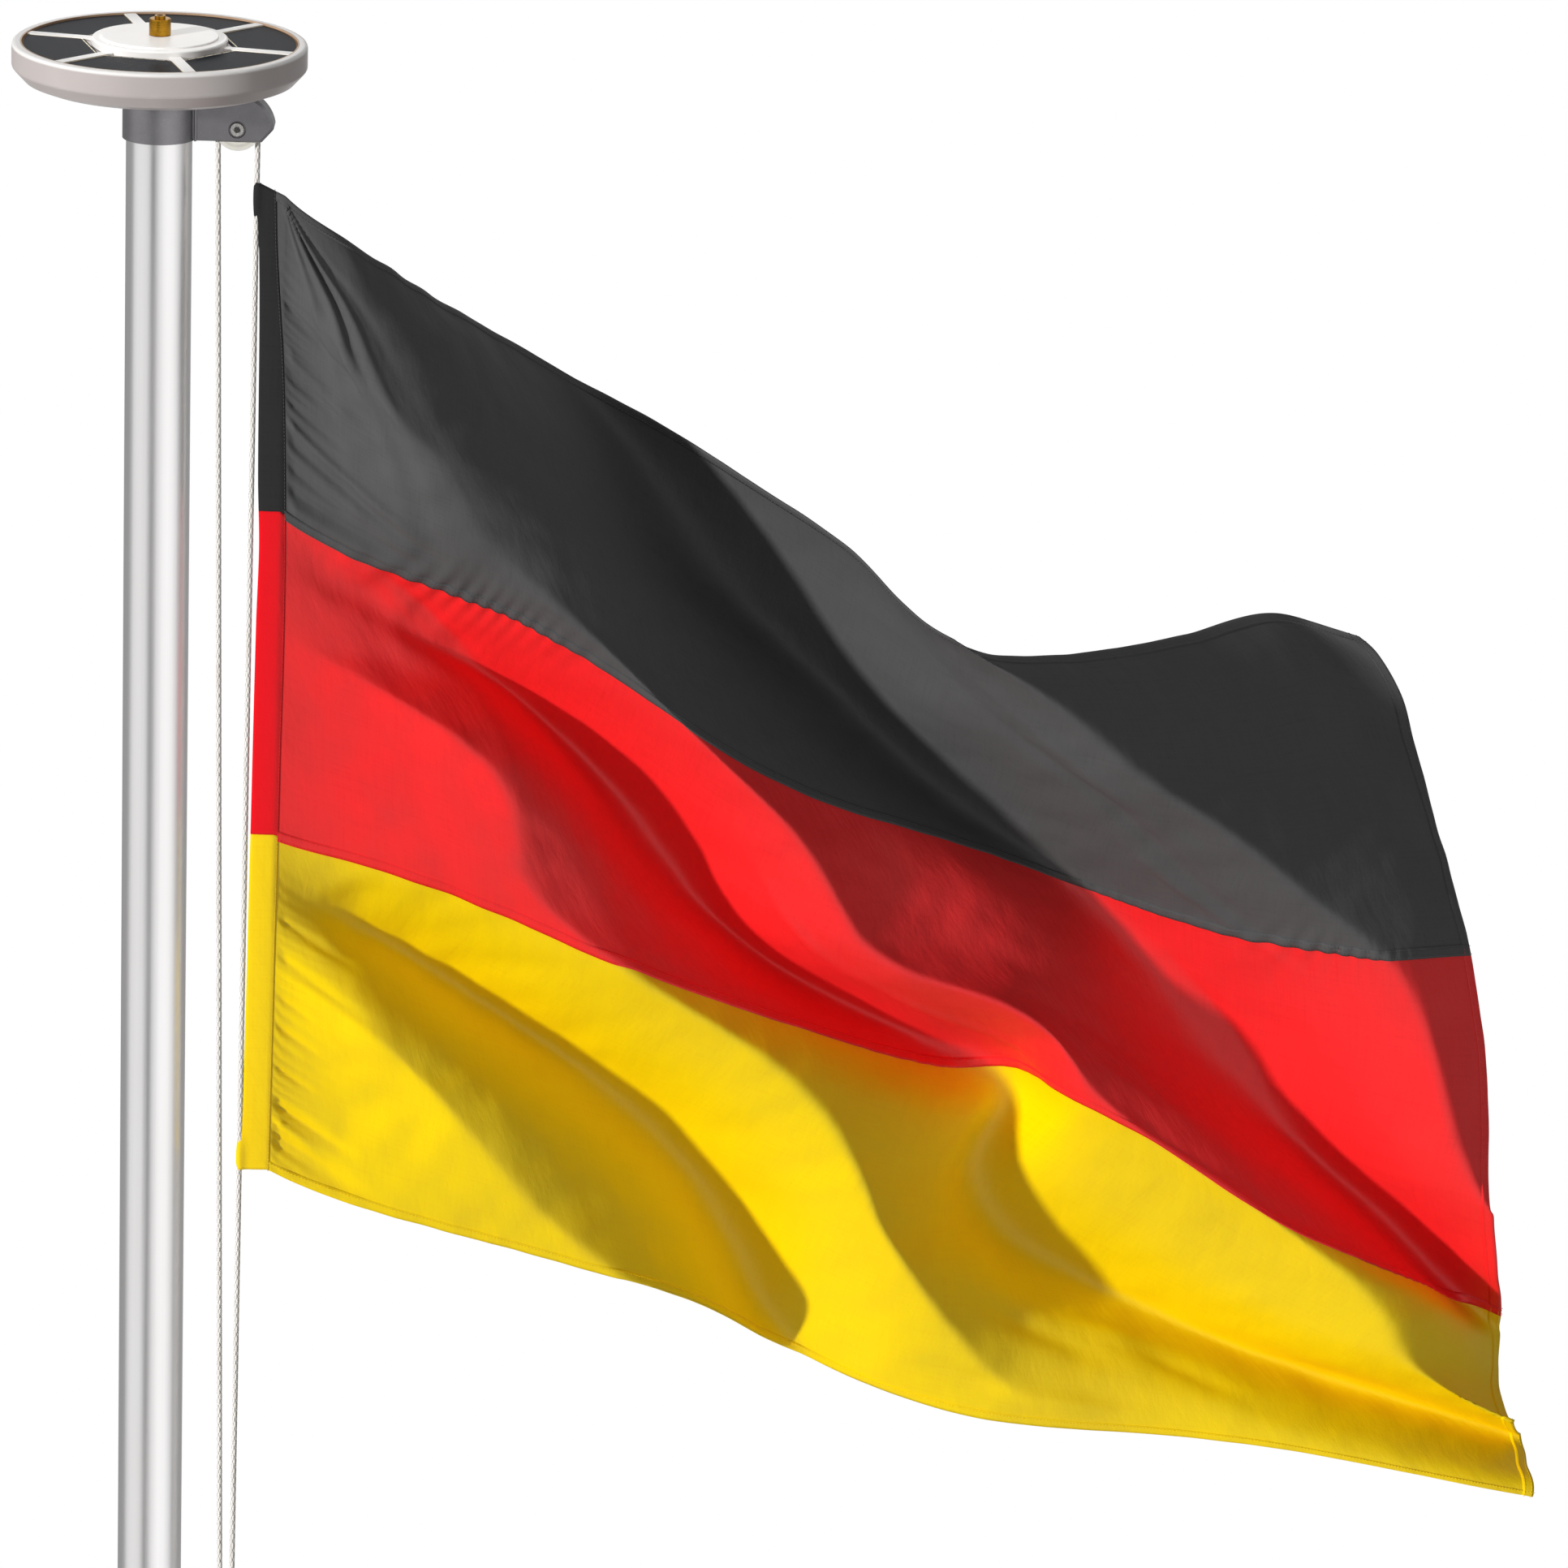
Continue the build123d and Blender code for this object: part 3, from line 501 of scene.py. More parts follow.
def solar_cell(pen, x, y, z):
    radius = from_middle(x, y)
    turn = (y.maths("ARCTAN2", x) - rib_turn) * (rib_count / (2 * math.pi))
    sector = (turn - turn.maths("FLOOR") - 0.5) * (2 * math.pi / rib_count)
    along = radius * sector.maths("COSINE")
    across = radius * sector.maths("SINE")
    finger_line = 1 - soft_step(from_whole(across / finger_step), *finger_edge)
    dash_gap = soft_step(from_whole(across / busbar_step), *busbar_gap)
    busbar = line_at(along, hub_r + busbar_inset, busbar_half) * (1 - dash_gap)
    side = radius * (math.pi / rib_count - sector.maths("ABSOLUTE")).maths("SINE") - rib_wide / 2
    # Painted glint: thin pale gold lines along the panel sides beside the ribs stand in for light
    # caught on the panels' edges.
    painted_side_glint = 1 - soft_step(side, *panel_side_edge)
    # Painted shadow: a brown band at the panels' outer edge stands in for the shade where the panels
    # sink below the well's rim; it is rougher too.
    painted_rim_shadow = soft_step(radius, *panel_rim_edge)
    # Painted reflection: soft lighter streaks across the cells stand in for reflections on the glass;
    # the same streaks vary the roughness.
    painted_reflection_streaks = stretched(pen, across * 45, along * 420, turn.maths("FLOOR") * 7.3, 4.0)
    cloud = grain(pen, vector(pen, x, y, z), 34.0, 3.0)
    colour = mixed(soft_step(painted_reflection_streaks, 0.35, 0.75), "0C0E12", "20232A")
    colour = mixed(cloud * 0.4, colour, "14161B")
    colour = mixed(finger_line * 0.30, colour, "5A5C63")
    colour = mixed(busbar, colour, "F4E9CF")
    colour = mixed(painted_side_glint * 0.85, colour, "E6D2A8")
    colour = mixed(painted_rim_shadow * 0.8, colour, "B08A5C")
    rough = between(painted_reflection_streaks, 0.16, 0.30) + painted_rim_shadow * 0.2
    height = busbar * 2 + finger_line * 0.4 + cloud
    close_finish(pen, colour, rough, height, 0.00005, IOR=1.05)


def turned_brass(pen, x, y, z):
    rings = stretched(pen, x * 25, y * 25, z * 1800)
    stain = grain(pen, vector(pen, x, y, z), 160.0, 4.0)
    colour = mixed(rings, "9E6E18", "C8962F")
    colour = mixed(soft_step(stain, 0.50, 0.75) * 0.5, colour, "6E4A12")
    close_finish(pen, colour, between(rings, 0.20, 0.36), rings, 0.00008, Metallic=1.0)


def galvanised_steel(pen, x, y, z):
    place = vector(pen, x, y, z)
    spangle = pen.node("ShaderNodeTexVoronoi", {"Vector": place, "Scale": 95.0}, output="Color")
    flake = pen.node("ShaderNodeSeparateXYZ", {0: spangle}, output=0)
    cloud = grain(pen, place, 22.0, 5.0)
    fine = grain(pen, place, 480.0, 3.0)
    colour = mixed(flake, "8C8F93", "B7BABD")
    colour = mixed(soft_step(cloud, 0.45, 0.75) * 0.6, colour, "787673")
    close_finish(pen, colour, between(flake, 0.32, 0.52), fine + flake * 0.6, 0.00015, Metallic=0.9)


def zinc_screw(pen, x, y, z):
    place = vector(pen, x, y, z)
    fine = grain(pen, place, 650.0, 3.0)
    cloud = grain(pen, place, 130.0, 3.0)
    colour = mixed(cloud, "B4B2AE", "DAD8D5")
    colour = mixed(soft_step(fine, 0.6, 0.8) * 0.4, colour, "86817A")
    # Painted shade: the hex socket's middle and a thin ring at the head's edge are darkened nearly to
    # black, standing in for the shade in the recess and where the head meets the cap.
    radius = from_axle(x, z)
    ring = line_at(radius, axle_ring_r, axle_ring_half)
    painted_screw_shade = (1 - soft_step(radius, *axle_socket_edge)).maths("MAXIMUM", ring)
    colour = mixed(painted_screw_shade * 0.85, colour, "2E2B29")
    close_finish(pen, colour, between(fine, 0.18, 0.34), fine, 0.00008, Metallic=1.0)


def nylon_sheave(pen, x, y, z):
    radius = from_axle(x, z)
    rings = stretched(pen, radius * 2600, y * 300, 0.0, 2.0)
    cloud = grain(pen, vector(pen, x, y, z), 120.0, 3.0)
    rub = line_at(radius, pitch_r - groove_inset, groove_half)
    colour = mixed(cloud, "E4E2DA", "D5D2C8")
    colour = mixed(rub * 0.4, colour, "B7B1A4")
    close_finish(
        pen, colour, between(rings, 0.34, 0.50), rings, 0.00006,
        Subsurface_Weight=0.25, Subsurface_Radius=(0.004, 0.004, 0.003),
    )


def cleat_grey(pen, x, y, z):
    place = vector(pen, x, y, z)
    pits = grain(pen, place, 800.0, 2.0)
    cloud = grain(pen, place, 70.0, 4.0)
    worn = line_at(z, cleat_z, cleat_worn_half) * soft_step(cloud, 0.4, 0.7)
    colour = mixed(cloud, "6A696B", "7C7A7D")
    colour = mixed(worn * 0.4, colour, "97959A")
    close_finish(pen, colour, between(cloud, 0.42, 0.60), pits, 0.00015)


def braided_rope(pen, around, length):
    girth = around * braid_strands
    run = length / braid_pitch
    left_lay = ((girth + run) * math.pi).maths("SINE").maths("ABSOLUTE")
    right_lay = ((girth - run) * math.pi).maths("SINE").maths("ABSOLUTE")
    # Painted shade: the grooves between the braid's strands are darkened, standing in for the shade
    # between them.
    painted_groove_shade = 1 - soft_step(left_lay * right_lay, 0.02, 0.20)
    fibre = stretched(pen, around * 60, length * 900, 0.0)
    dirt = stretched(pen, around * 3, length * 22, 3.0, 4.0)
    colour = mixed(fibre, "E6E2DC", "F4F1EC")
    colour = mixed(soft_step(dirt, 0.45, 0.75) * 0.5, colour, "CDC4B8")
    colour = mixed(painted_groove_shade * 0.8, colour, "8F8680")
    height = (left_lay * right_lay).maths("SQRT") * 2 + fibre * 0.3
    close_finish(pen, colour, between(fibre, 0.62, 0.80), height, 0.00030, Sheen_Weight=0.15)


def woven_cloth(pen, along, down, dark, light, worn, gloss, roughness):
    """Thin flag cloth: crossed threads, soft streaks along the weft and a silky shine."""
    warp = (along * (2 * math.pi / thread_pitch)).maths("SINE")
    weft = (down * (2 * math.pi / thread_pitch)).maths("SINE")
    streak = stretched(pen, along * 14, down * 420, 0.0)
    slub = stretched(pen, along * 420, down * 14, 5.0)
    cloud = grain(pen, vector(pen, along, down, 0.0), 7.0, 4.0)
    crease = stretched(pen, along * 60 - down * 30, down * 26 + along * 14, 2.0, 4.0)
    colour = mixed(between(streak + slub, -0.3, 0.7), dark, light)
    colour = mixed(soft_step(cloud, 0.45, 0.80) * 0.5, colour, worn)
    rough = between(crease, roughness - 0.05, roughness + 0.07)
    height = warp * weft * 0.03 + (streak + slub) * 0.12 + crease * 2.2
    close_finish(pen, colour, rough, height, 0.00035, Specular_IOR_Level=gloss)


def sewing_thread(pen, x, y, z, dark, light):
    twist = stretched(pen, x * 900, y * 900, z * 900, 2.0)
    close_finish(pen, mixed(twist, dark, light), between(twist, 0.45, 0.65), twist, 0.0001)


def dress(paint, *nodes):
    """Gives CAD nodes their finish."""
    material = solid_finish(paint)
    for name in nodes:
        for place in frame["nodes"][name].material_slots:
            place.material = material


def placed(name, data):
    made = bpy.data.objects.new(name, data)
    scene.collection.objects.link(made)
    return made


def ride_piece(name, mesh, body):
    """A smooth mesh piece that rides on a body."""
    mesh.polygons.foreach_set("use_smooth", np.ones(len(mesh.polygons), dtype=bool))
    mesh.update()
    piece = placed(name, mesh)
    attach(piece, body)
    return piece


def make_piece(name, points, faces, material, body, uvs):
    """A piece from points and faces; uvs holds one pair for each point."""
    mesh = bpy.data.meshes.new(name)
    mesh.from_pydata([tuple(p) for p in points], [], faces)
    mesh.materials.append(material)
    layer = mesh.uv_layers.new(name="cloth")
    corners = np.empty(len(mesh.loops), dtype=np.int32)
    mesh.loops.foreach_get("vertex_index", corners)
    layer.data.foreach_set("uv", np.asarray(uvs, dtype=np.float32)[corners].ravel())
    return ride_piece(name, mesh, body)


def grid_faces(rows, columns, closed=False):
    """Quads of a grid of points; closed joins the last column to the first."""
    faces = []
    for row in range(rows - 1):
        for column in range(columns if closed else columns - 1):
            following = (column + 1) % columns
            a, b = row * columns + column, row * columns + following
            faces.append((a, b, b + columns, a + columns))
    return faces


def thicken(piece, thickness):
    shell = piece.modifiers.new("thickness", "SOLIDIFY")
    shell.thickness = thickness
    shell.offset = 0.0


def smooth(where, values, at):
    """Smooth values between stations, along the first axis of values."""
    where = np.asarray(where, float)
    values = np.asarray(values, float)
    index = np.arange(len(where))
    before, after = np.maximum(index - 1, 0), np.minimum(index + 1, len(where) - 1)
    tail = (-1,) + (1,) * (values.ndim - 1)
    slope = (values[after] - values[before]) / (where[after] - where[before]).reshape(tail)
    span = np.clip(np.searchsorted(where, at) - 1, 0, len(where) - 2)
    width = (where[span + 1] - where[span]).reshape(tail)
    t = (at - where[span]).reshape(tail) / width
    eased = values[span] * (1 + 2 * t) * (1 - t) ** 2 + values[span + 1] * t**2 * (3 - 2 * t)
    return eased + width * t * (1 - t) * (slope[span] * (1 - t) - slope[span + 1] * t)


def along_stations(stations, at):
    where, values = zip(*stations)
    return smooth(where, values, np.asarray(at, float))


def across_lines(lines, levels):
    return smooth(np.linspace(0, 1, len(lines)), np.asarray(lines, float), levels)


def ease(value, limits):
    part = np.clip((value - limits[0]) / (limits[1] - limits[0]), 0, 1)
    return part**2 * (3 - 2 * part)


def rope_x(z):
    return right_turn.x + (z - right_turn.z) * rope_lean


def flag_lines(levels):
    """Points of level lines from the rope's axis to the fly edge, and their cloth distances."""
    free = np.linspace(0, 1, cloth_columns + 1)
    hem_share = hem_wide / flag_fly
    place = hem_share + (1 - hem_share) * free
    eased = place - hem_share * np.exp(-free / hem_ease_share)
    folds = across_lines([along_stations(line, place) for line in fold_count_shares], levels)
    drop = across_lines([along_stations(line, eased) for line in drop_shares], levels)
    depth = across_lines(fold_depth_shares, levels)[:, None] * flag_hoist
    swing = np.cos(np.pi * folds)
    flank = fold_flank_share + fold_crest_share * swing
    wave = np.arcsin(flank * swing) / np.arcsin(flank)
    growth = 1 - np.exp(-((free / fold_start_share) ** fold_start_power))
    pinch = np.outer(
        np.exp(-(((levels - pinch_level) / pinch_level_spread) ** 2)),
        np.exp(-(((place - pinch_place) / pinch_place_spread) ** 2)),
    )
    growth = growth * (1 - pinch)
    calm = np.outer(ease(levels, calm_level_shares), ease(place, calm_shares))
    still = np.outer(ease(levels, calm_level_shares), ease(place, still_shares))
    folded = -depth * growth * wave * (1 - calm_depth_share * still)
    offset = folded - calm_swing_share * flag_hoist * calm
    height = flag_top - drop * flag_hoist - fold_rise_share * offset
    step = (flag_fly - hem_wide) / cloth_columns
    rest = step**2 - np.diff(offset, axis=1) ** 2 - np.diff(height, axis=1) ** 2
    advance = np.cumsum(np.sqrt(np.maximum(rest, (step * least_advance_share) ** 2)), axis=1)
    advance = np.concatenate([np.zeros((len(levels), 1)), advance], axis=1)
    reach = across_lines(reach_shares, levels) + along_stations(fly_trim_shares, levels)
    advance *= (reach * flag_fly / advance[:, -1])[:, None]
    start = rope_x(height[:, :1]) + cloth_start
    x = start + advance * math.cos(stream_angle) - offset * math.sin(stream_angle)
    y = advance * math.sin(stream_angle) + offset * math.cos(stream_angle)
    points = np.stack([x, y, height], axis=2)
    sleeve = points[:, :1] - np.array([2 * cloth_start, 0, 0])
    sleeve[:, 0, 2] += 2 * cloth_start * corner_slope * np.exp(-((levels / corner_level) ** 2))
    distance = np.concatenate([[-cloth_start], cloth_start + free * (flag_fly - hem_wide)])
    return np.concatenate([sleeve, points], axis=1), distance


def cloth_noise(distance, down, rates, seed):
    along, back, across, skew = rates
    values = [
        noise.noise(Vector((along * d - back * e, across * e + skew * d, seed)))
        for d, e in zip(distance.ravel(), down.ravel())
    ]
    return np.reshape(values, distance.shape)


def swayed(place, pitch, sway, rate, at):
    """Waves of one pitch whose phase sways with a second place."""
    return np.sin(2 * np.pi * place / pitch + sway * np.sin(at * rate))


def ripple(distance, down):
    """Small folds in the cloth, as metres along its normal."""
    stitched = along_stations(hem_right_shares, down[:, 0] / flag_hoist)[:, None]
    away = np.maximum(distance - stitched, 0.0)
    total = np.zeros_like(distance)

    fan_reach = np.hypot(away, down)
    fan_turn = np.degrees(np.arctan2(down, np.maximum(away, 1e-6)))
    for turn, size in fan_folds:
        bend = fan_turn - turn - fan_curl * np.maximum(fan_reach - fan_straight, 0)
        swell = (fan_reach / fan_peak) * np.exp(1 - fan_reach / fan_peak)
        total += size * swell * np.exp(-((bend / fan_spread) ** 2))

    beside = ease(away, (0.0, hem_beside))
    gather = swayed(down - gather_run * away, gather_pitch, gather_sway, gather_sway_rate, down)
    for spot, size, spread in gather_spots:
        fade = np.exp(-away / gather_fade - ((down - spot * flag_hoist) / spread) ** 2)
        total += gather_depth * size * beside * gather * fade

    for level, run, length, size, wide in cloth_dents:
        across = (down - level - run * away) / wide
        fade = ease(away, (0.0, dent_start)) * (1 - ease(away, (length * dent_hold_share, length)))
        total += size * fade * np.exp(-(across**2))

    for middle, level, turn, length, wide, size in cloth_wrinkles:
        cosine, sine = math.cos(math.radians(turn)), math.sin(math.radians(turn))
        lengthways = (distance - middle) * cosine + (down - level) * sine
        across = (down - level) * cosine - (distance - middle) * sine
        total += size * np.exp(-((lengthways / length) ** 2) - (across / wide) ** 2)

    for seam, spot, size in pucker_spots:
        from_seam = down - seam * flag_hoist / 3
        place = distance + pucker_run * from_seam
        pucker = swayed(place, pucker_pitch, pucker_sway, pucker_sway_rate, distance)
        near = np.exp(-np.abs(from_seam) / pucker_fade - ((distance - spot) / pucker_spread) ** 2)
        total += pucker_depth * size * pucker * near

    flutter = swayed(down, flutter_pitch, flutter_sway, flutter_sway_rate, down)
    total += flutter_depth * flutter * np.exp(-np.maximum(cloth_end - distance, 0) / flutter_fade)
    ruffled = 1 + crinkle_extra * (1 - ease(distance, crinkle_limits))
    billow = billow_depth * cloth_noise(distance, down, billow_rates, billow_seed)
    crinkle = crinkle_depth * ruffled * cloth_noise(distance, down, crinkle_rates, crinkle_seed)
    return total + np.clip(away / noise_start, 0, 1) * (billow + crinkle)


def cloth_patch(levels, distances, lift=0.0):
    """Grid of points on the waving cloth, lifted along its normal, with the normals."""
    levels = np.asarray(levels, float)
    spread = np.concatenate([levels - normal_step, levels, levels + normal_step])
    lines, line_distance = flag_lines(spread)
    wanted = np.broadcast_to(np.asarray(distances, float), (len(levels), np.shape(distances)[-1]))
    reach = np.stack([wanted - normal_step, wanted, wanted + normal_step])
    spots = []
    for third in range(3):
        rows = lines[third * len(levels) : (third + 1) * len(levels)]
        places = reach if third == 1 else reach[1:2]
        spots.append([
            np.stack([
                np.stack([np.interp(at, line_distance, row[:, axis]) for axis in range(3)], axis=1)
                for at, row in zip(layer, rows)
            ])
            for layer in places
        ])
    across = spots[1][2] - spots[1][0]
    downward = spots[2][0] - spots[0][0]
    normal = np.cross(across, downward)
    normal /= np.linalg.norm(normal, axis=2, keepdims=True)
    fold = ripple(wanted, np.broadcast_to(levels[:, None] * flag_hoist, wanted.shape))
    return spots[1][1] + normal * (fold[:, :, None] + lift), normal


def patch_uvs(levels, distances):
    wanted = np.broadcast_to(np.asarray(distances, float), (len(levels), np.shape(distances)[-1]))
    down = np.broadcast_to(np.asarray(levels)[:, None] * flag_hoist, wanted.shape)
    return np.stack([wanted, down], axis=2).reshape(-1, 2)


def cloth_strip(name, levels, distances, thickness, material):
    points, _ = cloth_patch(levels, distances)
    rows, columns = points.shape[:2]
    piece = make_piece(
        name, points.reshape(-1, 3), grid_faces(rows, columns), material, "flag",
        patch_uvs(levels, distances),
    )
    thicken(piece, thickness)
    return piece


def hoist_hem(name, levels, material):
    """Folded sleeve along the hoist, swollen where it holds the rope at the flag's corners."""
    left = along_stations(hem_left_shares, levels)
    right = along_stations(hem_right_shares, levels)
    spread = np.linspace(0, 1, hem_columns)
    distances = right[:, None] + (left - right)[:, None] * spread
    middle, normal = cloth_patch(levels, distances)
    bulge = np.sin(np.pi * np.clip(spread * hem_round_share, 0, 1)) ** hem_round_power
    fullness = hem_half + hem_full * bulge
    fullness = np.where(spread > hem_edge_share, fullness * hem_edge_fullness, fullness)
    corners = [np.exp(-((off / hem_corner_level) ** 4)) for off in (levels, 1 - levels)]
    corner = np.maximum(*corners)[:, None]
    swell = hem_swell * corner * np.exp(-((distances / hem_swell_half) ** 2))
    half = (fullness + swell)[:, :, None]
    loop = np.concatenate([middle + normal * half, (middle - normal * half)[:, ::-1]], axis=1)
    rows, columns = loop.shape[:2]
    faces = grid_faces(rows, columns, closed=True)
    for row, order in ((0, 1), (rows - 1, -1)):
        for column in range(len(spread) - 1):
            a, b = row * columns + column, row * columns + column + 1
            c, d = row * columns + columns - 2 - column, row * columns + columns - 1 - column
            faces.append((a, d, c, b)[::order])
    sides = np.concatenate([distances, distances[:, ::-1]], axis=1)
    return make_piece(
        name, loop.reshape(-1, 3), faces, material, "flag", patch_uvs(levels, sides)
    )


def rope_tube(name, path, material):
    """Braided rope along a path of close points, closed at both ends."""
    path = np.asarray(path, float)
    tangent = np.gradient(path, axis=0)
    tangent /= np.linalg.norm(tangent, axis=1, keepdims=True)
    side = np.empty_like(tangent)
    side[0] = np.cross(tangent[0], rope_first_side)
    for ring in range(1, len(path)):
        side[ring] = side[ring - 1] - tangent[ring] * (side[ring - 1] @ tangent[ring])
        side[ring] /= np.linalg.norm(side[ring])
    side[0] /= np.linalg.norm(side[0])
    other = np.cross(tangent, side)
    length = np.concatenate([[0], np.cumsum(np.linalg.norm(np.diff(path, axis=0), axis=1))])
    turn = np.linspace(0, 2 * np.pi, rope_sides + 1)
    lay = 2 * np.pi * length[:, None] / braid_pitch
    strands = braid_strands * turn[None, :]
    swell = np.abs(np.sin((strands + lay) / 2) * np.sin((strands - lay) / 2)) ** 0.5
    radius = rope_r - braid_depth + braid_depth * braid_swell * swell
    rings = path[:, None] + radius[:, :, None] * (
        np.cos(turn)[None, :, None] * side[:, None] + np.sin(turn)[None, :, None] * other[:, None]
    )
    rows, columns = rings.shape[:2]
    uvs = np.broadcast_arrays(turn[None, :] / (2 * np.pi), length[:, None])
    uvs = np.stack(uvs, axis=2).reshape(-1, 2)
    faces = grid_faces(rows, columns)
    faces.append(tuple(range(columns - 1))[::-1])
    faces.append(tuple((rows - 1) * columns + column for column in range(columns - 1)))
    return make_piece(name, rings.reshape(-1, 3), faces, material, "pole", uvs)


def rope_line(corners):
    """Close points along straight runs."""
    points = []
    for first, second in zip(corners[:-1], corners[1:]):
        count = max(int((second - first).length / rope_ring_step), 1)
        points += [first.lerp(second, step / count) for step in range(count)]
    return points


def sheave_tangent(point, side):
    away = math.atan2(point.z - sheave_place.z, point.x - sheave_place.x)
    distance = math.hypot(point.x - sheave_place.x, point.z - sheave_place.z)
    return away + side * math.acos(pitch_r / distance)


def on_sheave(turn):
    return sheave_place + Vector((pitch_r * math.cos(turn), 0, pitch_r * math.sin(turn)))


def halyard(material):
    """Taut rope from the cleat over the sheave and back down."""
    left_turn_on = sheave_tangent(left_knee, -1)
    right_turn_on = sheave_tangent(right_turn, 1)
    left_turn_on += 2 * math.pi if left_turn_on < 0 else 0
    while right_turn_on > left_turn_on:
        right_turn_on -= 2 * math.pi
    arc_count = 2 * int((left_turn_on - right_turn_on) * pitch_r / rope_ring_step)
    path = rope_line([left_end, left_turn, left_knee, on_sheave(left_turn_on)])
    for step in range(arc_count):
        path.append(on_sheave(left_turn_on + (right_turn_on - left_turn_on) * step / arc_count))
    path += rope_line([on_sheave(right_turn_on), right_turn, right_end])
    path.append(right_end)
    return rope_tube("halyard_rope", path, material)


def cleat_turns(material):
    """Two turns of the halyard round the cleat's stem."""
    near_x, far_x = hitch_low.x + hitch_inset_x, hitch_high.x - hitch_inset_x
    half_y = hitch_high.y - hitch_inset_y
    half_z = (hitch_high.z - hitch_low.z) / 2 - hitch_inset_z
    path = [left_end]
    for step in range(hitch_steps + 1):
        share = step / hitch_steps
        turn = math.radians(hitch_start + hitch_run * share)
        outward = float(ease(share, hitch_cross))
        cosine, sine = math.cos(turn), math.sin(turn)
        path.append(Vector((
            near_x + (far_x - near_x) * outward,
            half_y * math.copysign(abs(cosine) ** hitch_square, cosine),
            cleat_z + half_z * math.copysign(abs(sine) ** hitch_square, sine),
        )))
    path.append(right_end)
    return rope_tube("cleat_turns", path, material)


def row_tree(name, shape_of, sizes):
    """Geometry tree that sets one small shape, turned along the line, at even steps of each line."""
    tree = bpy.data.node_groups.new(name, "GeometryNodeTree")
    tree.interface.new_socket("Lines", in_out="INPUT", socket_type="NodeSocketGeometry")
    for size, value in sizes.items():
        socket = tree.interface.new_socket(size, in_out="INPUT", socket_type="NodeSocketFloat")
        socket.default_value = value
    tree.interface.new_socket("Finish", in_out="INPUT", socket_type="NodeSocketMaterial")
    tree.interface.new_socket("Row", in_out="OUTPUT", socket_type="NodeSocketGeometry")
    pen = Wire(tree)
    given = {size: pen.node("NodeGroupInput", output=size) for size in sizes}
    curve = pen.node("GeometryNodeMeshToCurve", {0: pen.node("NodeGroupInput", output="Lines")})
    steps = pen.node(
        "GeometryNodeResampleCurve", {"Curve": curve, "Length": given["step"]}, mode="LENGTH"
    )
    heading = pen.node(
        "FunctionNodeAlignRotationToVector", {"Vector": pen.node("GeometryNodeInputTangent")}, axis="Z"
    )
    shape = shape_of(pen, given)
    copies = pen.node(
        "GeometryNodeInstanceOnPoints", {"Points": steps, "Instance": shape, "Rotation": heading}
    )
    solid = pen.node("GeometryNodeRealizeInstances", {0: copies})
    finish = pen.node("NodeGroupInput", output="Finish")
    done = pen.node("GeometryNodeSetMaterial", {"Geometry": solid, "Material": finish})
    pen.node("NodeGroupOutput", {0: done})
    return tree


def stitch_shape(pen, given):
    inputs = {"Vertices": 5, "Radius": given["thickness"], "Depth": given["length"]}
    return pen.node("GeometryNodeMeshCylinder", inputs)


def weld_shape(pen, given):
    inputs = {"Segments": 8, "Rings": 5, "Radius": given["thickness"]}
    return pen.node("GeometryNodeMeshUVSphere", inputs)


def row_piece(name, lines, tree, material, body):
    """Runs a row tree over lines of points and keeps the result as a plain mesh."""
    points, edges = [], []
    for line in lines:
        edges += [(len(points) + step, len(points) + step + 1) for step in range(len(line) - 1)]
        points += [tuple(point) for point in line]
    guide_mesh = bpy.data.meshes.new(name + "_guide")
    guide_mesh.from_pydata(points, edges, [])
    guide = placed(name + "_guide", guide_mesh)
    modifier = guide.modifiers.new("row", "NODES")
    modifier.node_group = tree
    for item in tree.interface.items_tree:
        if item.in_out == "INPUT" and item.name == "Finish":
            modifier[item.identifier] = material
    depsgraph = bpy.context.evaluated_depsgraph_get()
    mesh = bpy.data.meshes.new_from_object(guide.evaluated_get(depsgraph))
    mesh.name = name
    guide.modifiers.clear()
    bpy.data.objects.remove(guide)
    bpy.data.meshes.remove(guide_mesh)
    return ride_piece(name, mesh, body)


def stitch_lines(levels, distances, lift):
    """A stitch row on each side of the cloth; one of the two places is a single value."""
    lines = []
    for side in (-1, 1):
        points, _ = cloth_patch(levels, distances, side * lift)
        lines.append(points[0] if len(levels) == 1 else points[:, 0])
    return lines


# Finishes of the CAD pieces
dress(drawn_aluminium, *[f"pole_{part}_section" for part in ("bottom", "lower", "upper", "top")])
dress(galvanised_steel, "base_plate", "base_socket", "base_gussets")
dress(zinc_screw, "socket_screws", "axle_screw", "axle_nut", "cleat_screws")
dress(cast_grey, "pulley_cap")
dress(nylon_sheave, "pulley_wheel")
dress(lamp_white, "lamp_housing", "lamp_hub_cover")
dress(milky_cover, "lamp_diffuser")
dress(solar_cell, *[f"solar_panel_{number}" for number in range(1, rib_count + 1)])
dress(turned_brass, "brass_nut")
dress(cleat_grey, "cleat")

# Rope
rope = laid_finish(braided_rope)
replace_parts(halyard(rope), "halyard")
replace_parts(cleat_turns(rope), "halyard_hitch")

